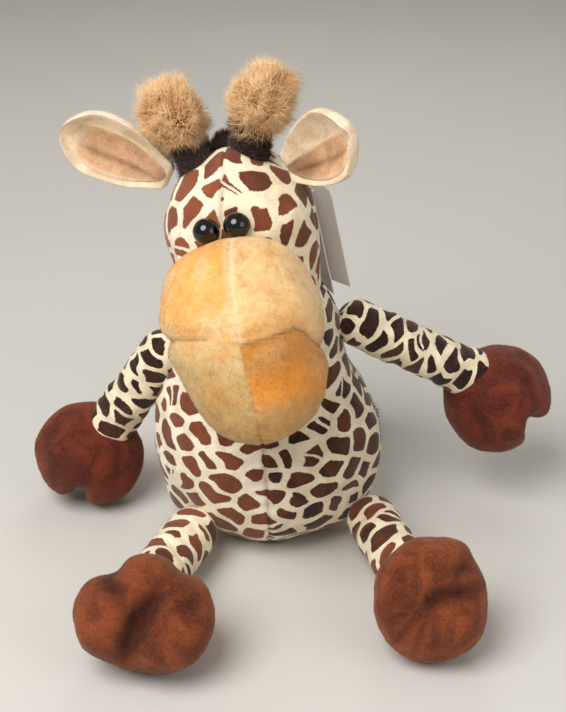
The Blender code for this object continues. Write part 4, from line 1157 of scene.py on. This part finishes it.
def make_mane(dark):
    """Fur strip over the crown and down the nape: a low ridge, and long dark hairs that stand up from it."""
    rows, columns = GRIDS["mane"]
    over = arc(HEAD_RADIUS, np.linspace(MANE_FRONT_ANGLE, math.pi / 2, 22))
    fall = np.linspace(0.0, MANE_LOW_HEIGHT - CROWN_HEIGHT, 9)[1:]
    nape = np.stack((np.full(8, HEAD_RADIUS), fall), axis=1)
    path = curve_through(np.pad(np.vstack((over, nape)), ((0, 0), (1, 0))), rows)
    tangent = unit(np.gradient(path, axis=0))
    outward = unit(np.cross(tangent, (1.0, 0.0, 0.0)))
    outward = np.where(np.sum(outward * path, axis=1, keepdims=True) < 0.0, -outward, outward)
    turn = circle(columns)
    ends = rounded_ends(np.linspace(0.0, 1.0, rows), 0.05, 0.08)[:, None]
    side = np.array((1.0, 0.0, 0.0))
    ridge = path[:, None] + (np.cos(turn) * 0.0036 * ends)[..., None] * side
    ridge = ridge + (np.sin(turn) * 0.0022 * ends)[..., None] * outward[:, None]
    # The ridge takes the fur's dark root colour: partly painted shade under the hairs.
    skin = skin_piece("mane_strip", placed(CROWN_FRAME, ridge), {"tip": np.full((rows, columns), 0.1)})
    finish(skin, dark, "dark_fur", "head", ("mane",))
    chance = np.random.default_rng(61)
    count, radii = MANE_HAIRS
    where = chance.uniform(0.0, rows - 1.0, count)
    cell = where.astype(int)
    part = (where - cell)[:, None]
    root = path[cell] * (1.0 - part) + path[np.minimum(cell + 1, rows - 1)] * part
    along = tangent[cell]
    out = outward[cell]
    lateral = chance.uniform(-1.0, 1.0, count)[:, None]
    root = root + side * lateral * 0.0034 + out * 0.0008
    spread = 0.45 * side * lateral + 0.22 * locks_of(root, 0.008, 62)
    heading = unit(out + 0.35 * along + spread + chance.normal(scale=0.14, size=root.shape))
    rise = 0.45 + 0.55 * smooth(where / 30.0)
    length = (MANE_HEIGHT * chance.uniform(0.8, 1.2, count) * rise)[:, None]
    steps = np.array((0.0, 0.4, 0.75, 1.0))[None, :, None]
    paths = root[:, None] + heading[:, None] * length[:, None] * steps
    paths = paths + (along * length)[:, None] * (0.25 * steps ** 2)
    add_fur("mane_fur", placed(CROWN_FRAME, paths), radii, chance, (dark, "dark_fur"), "head")


# Limbs

def make_sleeve(name, spec, root_radius, sleeve_radius, seed, material, sizes):
    """A stuffed sleeve from its root ball to inside the hoof, crossed by soft wrinkles, its seam behind."""
    root = Vector(spec[0])
    aim = Vector(spec[2])
    length = (aim - root).length
    far = length - sleeve_radius
    place = frame_along(root, aim - root, (1.0, 0.0, 0.0))
    hidden = np.array(place)[:3, :3].T @ (0.0, 0.6, -0.8)
    start = math.atan2(hidden[1], hidden[0])
    rows, columns = GRIDS["sleeve"]
    end = arc(sleeve_radius, np.linspace(0.0, math.pi / 2, 6), far)
    middle = np.array(((0.985, 0.75), (0.97, 0.50), (0.98, 0.25))) * (sleeve_radius, far)
    foot = arc(root_radius, np.linspace(math.radians(80.0), math.pi, 7))
    outline = closed_outline(np.vstack((end, middle, foot)), rows)
    base = turned(outline, columns, start)
    turn = circle(columns)[None]
    height = base[..., 2]
    body_share = smooth(height / 0.008) * smooth((length - height) / 0.012)
    slant = height + 0.0035 * np.sin(turn + seed) + 0.0012 * ripple(base, 0.02, seed)
    wrinkles = 0.00030 * np.sin(slant * 2.0 * math.pi / 0.0105) + 0.0004 * ripple(base, 0.018, seed + 1)
    seam = -0.0006 * bell(np.sin(turn / 2.0) * 2.0 * sleeve_radius / 0.0009)
    points = placed(place, swollen(base, (wrinkles + seam) * body_share))
    points[..., 2] = np.maximum(points[..., 2], 0.0001)
    depth, tone = giraffe_patches(np.full(rows, sleeve_radius), outline, columns, 1, 10 + seed, sizes)
    marks = {"patch": depth, "tone": tone, "panel": np.ones(base.shape[:2])}
    clothe(name, points, marks, (material, "giraffe_print_plush"), name, 0.7, FIBRES["sleeve"],
           np.array(place)[:3, 2], seed + 70)


def make_hoof(name, body, spec, shape, seed, material):
    """A stuffed ball parted into two toes by a notch, with bulges, dents and gathers round a middle.

    Each form adds height times a bell of its reach from that middle times a bell of the arc beside it. The
    notch and the dents are painted darker: painted shade in the hollows.
    """
    root, place, _, half, points_to = spec
    side_hint, (depth, width, shift), (toward_turn, toward_fall), forms = shape
    here = frame_along(place, points_to, side_hint)
    direction, fall, _ = sphere_directions(*GRIDS["hoof"])
    forward = np.maximum(direction[..., 2], 0.0)
    beside = direction[..., 0] - shift
    notch = bell(beside / width) * forward ** 1.5
    swell = 1.0 + 0.06 * forward * np.minimum(1.0, np.abs(beside) / 0.33)
    base = direction * ((1.0 - depth * notch) * swell)[..., None] * np.array(half)
    lean = Matrix.Rotation(math.radians(toward_turn), 3, "Z")
    lean = lean @ Matrix.Rotation(math.radians(toward_fall), 3, "Y")
    local = direction @ np.array(lean)
    reach = np.arccos(np.clip(local[..., 2], -1.0, 1.0))
    round_it = np.arctan2(local[..., 1], local[..., 0]) + math.radians(toward_turn)
    amount = np.zeros(fall.shape)
    # Painted shade: the notch and each dent darken the hoof by their depth.
    hollow = 0.0035 * notch * (depth > 0.2)
    for azimuth, middle, deep, wide, height in forms:
        away = (round_it - math.radians(azimuth) + math.pi) % (2.0 * math.pi) - math.pi
        spot = bell((reach - math.radians(middle)) / math.radians(deep))
        spot = spot * bell(away * np.sin(np.clip(reach, 0.10, math.pi / 2)) / math.radians(wide))
        amount += height / 1000 * spot
        hollow += max(-height, 0.0) / 1000 * spot
    toward = unit(np.array(unplaced(here, np.array(root, float))))
    near = np.arccos(np.clip(direction @ toward, -1.0, 1.0))
    amount += 0.0015 * bell(near / 0.55)
    amount += 0.0003 * ripple(base, 0.022, seed) + 0.00006 * ripple(base, 0.007, seed + 1)
    points = placed(here, swollen(base, amount))
    points[..., 2] = np.maximum(points[..., 2], 0.0)
    marks = {"seam_and_painted_shade": np.clip(hollow / 0.0052, 0.0, 1.0)}
    clothe(name, points, marks, (material, "hoof_plush"), body, 0.8, FIBRES["hoof"], np.array(here)[:3, 2],
           seed + 80, keep=(points[..., 2] > 0.001) * 1.0, brush=0.6, stand=0.42)


def make_limbs():
    """Arms and legs with their hooves."""
    arm_print = print_material("giraffe_print_arm", 0.05, 0.05, 0.98, 0.08)
    leg_print = print_material("giraffe_print_leg", 0.42, 0.42, 1.0, 0.25)
    rust = plush_material("hoof_rust", colour(92, 39, 19), colour(142, 70, 36), 0.0012, 0.014, 0.25,
                          (0.9, 0.6, 0.4, 1.0), dark=0.95, depth=0.0007)
    dark_rust = plush_material("hoof_dark_rust", colour(72, 26, 17), colour(120, 50, 29), 0.0012, 0.014, 0.25,
                               (0.9, 0.55, 0.4, 1.0), dark=0.94, depth=0.0007)
    for seed, suffix in ((3, "left"), (5, "right")):
        name = "arm_" + suffix
        spec = ARMS[suffix]
        make_sleeve(name, spec, ARM_ROOT_RADIUS, SLEEVE_RADIUS, seed, arm_print, PRINTS["arm"])
        make_hoof("fore_hoof_" + suffix, name, spec, FORE_HOOVES[suffix], 90 + seed, dark_rust)
    for seed, suffix in ((7, "left"), (9, "right")):
        name = "leg_" + suffix
        spec = LEGS[suffix]
        make_sleeve(name, spec, LEG_ROOT_RADIUS, LEG_SLEEVE_RADIUS, seed, leg_print, PRINTS["leg"])
        make_hoof("hind_hoof_" + suffix, name, spec, HIND_HOOVES[suffix], 90 + seed, rust)


def make_tail(dark):
    """A thin printed cord along its route, with a tuft of dark hairs at its end."""
    rows, columns = GRIDS["tail"]
    path = curve_through(TAIL_ROUTE, rows)
    tangent = unit(np.gradient(path, axis=0))
    side = unit(np.cross(tangent, (0.0, 0.0, 1.0)))
    up = np.cross(side, tangent)
    share = np.linspace(0.0, 1.0, rows)
    radius = TAIL_RADIUS + (TAIL_ROOT_RADIUS - TAIL_RADIUS) * bell(share / 0.12)
    radius = radius * rounded_ends(share, 0.05, 0.06)
    turn = circle(columns)
    ring = np.cos(turn)[:, None] * up[:, None] - np.sin(turn)[:, None] * side[:, None]
    points = path[:, None] + ring * radius[:, None, None]
    points = swollen(points, 0.00025 * ripple(points, 0.010, 51))
    points[..., 2] = np.maximum(points[..., 2], 0.0001)
    depth, tone = giraffe_patches(np.full(rows, TAIL_RADIUS), path, columns, 1, 31, PRINTS["tail"])
    marks = {"patch": depth, "tone": tone, "panel": np.ones(points.shape[:2])}
    look = (print_material("giraffe_print_tail", 0.3, 0.3), "giraffe_print_plush")
    clothe("tail", points, marks, look, "tail", 0.7, FIBRES["tail"], tangent[rows // 2], 52)
    direction, _, _ = sphere_directions(*GRIDS["tail_tuft"])
    end = frame_along(path[-1] + tangent[-1] * 0.006, tangent[-1], (0.0, 0.0, 1.0))
    core = placed(end, direction * (0.0046, 0.0046, 0.0100))
    core[..., 2] = np.maximum(core[..., 2], 0.0005)
    # The core takes the fur's dark root colour: partly painted shade inside the tuft.
    knot = skin_piece("tail_tuft_core", core, {"tip": np.full(GRIDS["tail_tuft"], 0.1)})
    finish(knot, dark, "dark_fur", "tail", ("tail_tuft",))
    chance = np.random.default_rng(53)
    count, radii = TAIL_HAIRS
    root, normal, _ = scattered(core, {}, count, chance)
    heading = unit(normal * 0.35 + tangent[-1] + chance.normal(scale=0.14, size=root.shape))
    length = (0.0130 * chance.uniform(0.7, 1.15, count))[:, None]
    steps = np.array((-0.05, 0.4, 0.75, 1.0))[None, :, None]
    aside = root - path[-1]
    gather = -0.22 * (aside - tangent[-1] * np.sum(aside * tangent[-1], axis=1, keepdims=True))
    paths = root[:, None] + heading[:, None] * length[:, None] * steps + gather[:, None] * steps ** 2 * 3.0
    paths[..., 2] = np.maximum(paths[..., 2], 0.0004)
    add_fur("tail_tuft_fur", paths, radii, chance, (dark, "dark_fur"), "tail")


# Card, loop and washers

def dress_kept_solids():
    """Materials for the solids that stay: the swing card, its loop and the eyes' lock washers."""
    card = card_material()
    clear = plastic_material("loop_clear_plastic", colour(216, 216, 212), colour(236, 236, 232), 0.3)
    white = plastic_material("washer_white_plastic", colour(214, 213, 206), colour(230, 229, 224), 0.4)
    kept = {"hang_tag": card, "tag_loop": clear, "eye_washer_left": white, "eye_washer_right": white}
    for node, material in kept.items():
        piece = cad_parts[node]
        for slot in piece.material_slots:
            slot.material = material


# Stage

def make_stage():
    """A plain pale floor that curves up into a backdrop, far from the toy."""
    across = np.linspace(-2.4, 2.4, 9)
    rise = np.radians(np.linspace(0.0, 90.0, 13))
    floor = np.stack((np.array((-2.4, -1.0, 0.4, 1.0)), np.zeros(4)), axis=1)
    bend = np.stack((1.6 + 0.8 * np.sin(rise), 0.8 - 0.8 * np.cos(rise)), axis=1)
    wall = np.array(((2.4, 1.6), (2.4, 3.2)))
    outline = np.vstack((floor, bend, wall))
    rows = len(outline)
    columns = len(across)
    grid = np.zeros((rows, columns, 3))
    grid[..., 0] = across
    grid[..., 1:] = outline[:, None]
    index = np.arange(rows * columns).reshape(rows, columns)
    faces = np.stack((index[:-1, :-1], index[:-1, 1:], index[1:, 1:], index[1:, :-1]), axis=-1).reshape(-1, 4)
    stage = new_piece("studio_floor", grid.reshape(-1, 3), [faces], {})
    material, nodes, shader = new_material("studio_paper", 0.85, specular=0.2)
    mottle = nodes.noise(nodes.place(), 0.25, 3.0)
    nodes.feed(shader.inputs["Base Color"], nodes.mix(mottle, colour(206, 202, 195), colour(214, 210, 203)))
    stage.data.materials.append(material)


def make_lights():
    """Soft studio light: a large key above and to the left, a weak fill, and a pale grey world."""
    lamps = (
        ("key_softbox", (-0.42, -0.55, 0.95), 0.80, 0.80, 12.0),
        ("fill_softbox", (0.75, -0.60, 0.55), 0.70, 0.70, 2.0),
        ("back_softbox", (0.10, 0.80, 0.80), 0.60, 0.40, 1.8),
    )
    for name, place, width, height, power in lamps:
        lamp = bpy.data.lights.new(name, "AREA")
        lamp.shape = "ELLIPSE"
        lamp.size = width
        lamp.size_y = height
        lamp.energy = power
        holder = bpy.data.objects.new(name, lamp)
        holder.location = place
        aim = Vector((0.0, -0.02, 0.09)) - Vector(place)
        holder.rotation_euler = aim.to_track_quat("-Z", "Y").to_euler()
        bpy.context.scene.collection.objects.link(holder)
    world = bpy.data.worlds.new("studio_world")
    world.use_nodes = True
    backdrop = world.node_tree.nodes["Background"]
    backdrop.inputs["Color"].default_value = (1.0, 0.985, 0.96, 1.0)
    backdrop.inputs["Strength"].default_value = 0.34
    bpy.context.scene.world = world


def make_camera():
    """The photograph's viewing angle: 28 degrees above the floor, from straight in front."""
    lens = bpy.data.cameras.new("camera")
    lens.sensor_fit = "VERTICAL"
    lens.sensor_height = SENSOR_HEIGHT
    lens.lens = SENSOR_HEIGHT * FOCAL_PIXELS / PHOTO_HEIGHT
    lens.clip_start = 0.01
    camera = bpy.data.objects.new("camera", lens)
    toward = Vector((0.0, -math.cos(CAMERA_RISE), math.sin(CAMERA_RISE)))
    camera.location = CAMERA_TARGET + CAMERA_DISTANCE * toward
    camera.rotation_euler = (CAMERA_TARGET - camera.location).to_track_quat("-Z", "Y").to_euler()
    bpy.context.scene.collection.objects.link(camera)
    bpy.context.scene.camera = camera


def main():
    make_camera()
    make_torso()
    make_head()
    make_muzzle()
    make_eyes()
    cream = plush_material("ear_cream", colour(232, 204, 168), colour(248, 230, 202), 0.0009, 0.010, 0.3,
                           (1.0, 0.92, 0.80, 1.0), dark=0.9)
    tan = plush_material("ear_tan", colour(214, 162, 118), colour(236, 194, 152), 0.0008, 0.010, 0.3,
                         (1.0, 0.88, 0.75, 1.0), dark=0.92, pale=colour(240, 216, 182))
    maroon = plush_material("horn_maroon", colour(26, 8, 7), colour(48, 15, 12), 0.0010, 0.008, 0.1,
                            (0.7, 0.35, 0.3, 1.0))
    fluff = fur_material("tuft_fluff", colour(198, 128, 70), colour(236, 184, 124), colour(252, 220, 172))
    dark = fur_material("mane_dark", colour(14, 9, 8), colour(30, 19, 15), colour(58, 38, 30))
    for seed, suffix in ((101, "left"), (111, "right")):
        make_ear(suffix, cream, tan)
        make_horn(suffix, maroon, fluff, seed)
    make_mane(dark)
    make_limbs()
    make_tail(dark)
    dress_kept_solids()
    make_stage()
    make_lights()
    bpy.context.scene.view_settings.view_transform = "Standard"


main()
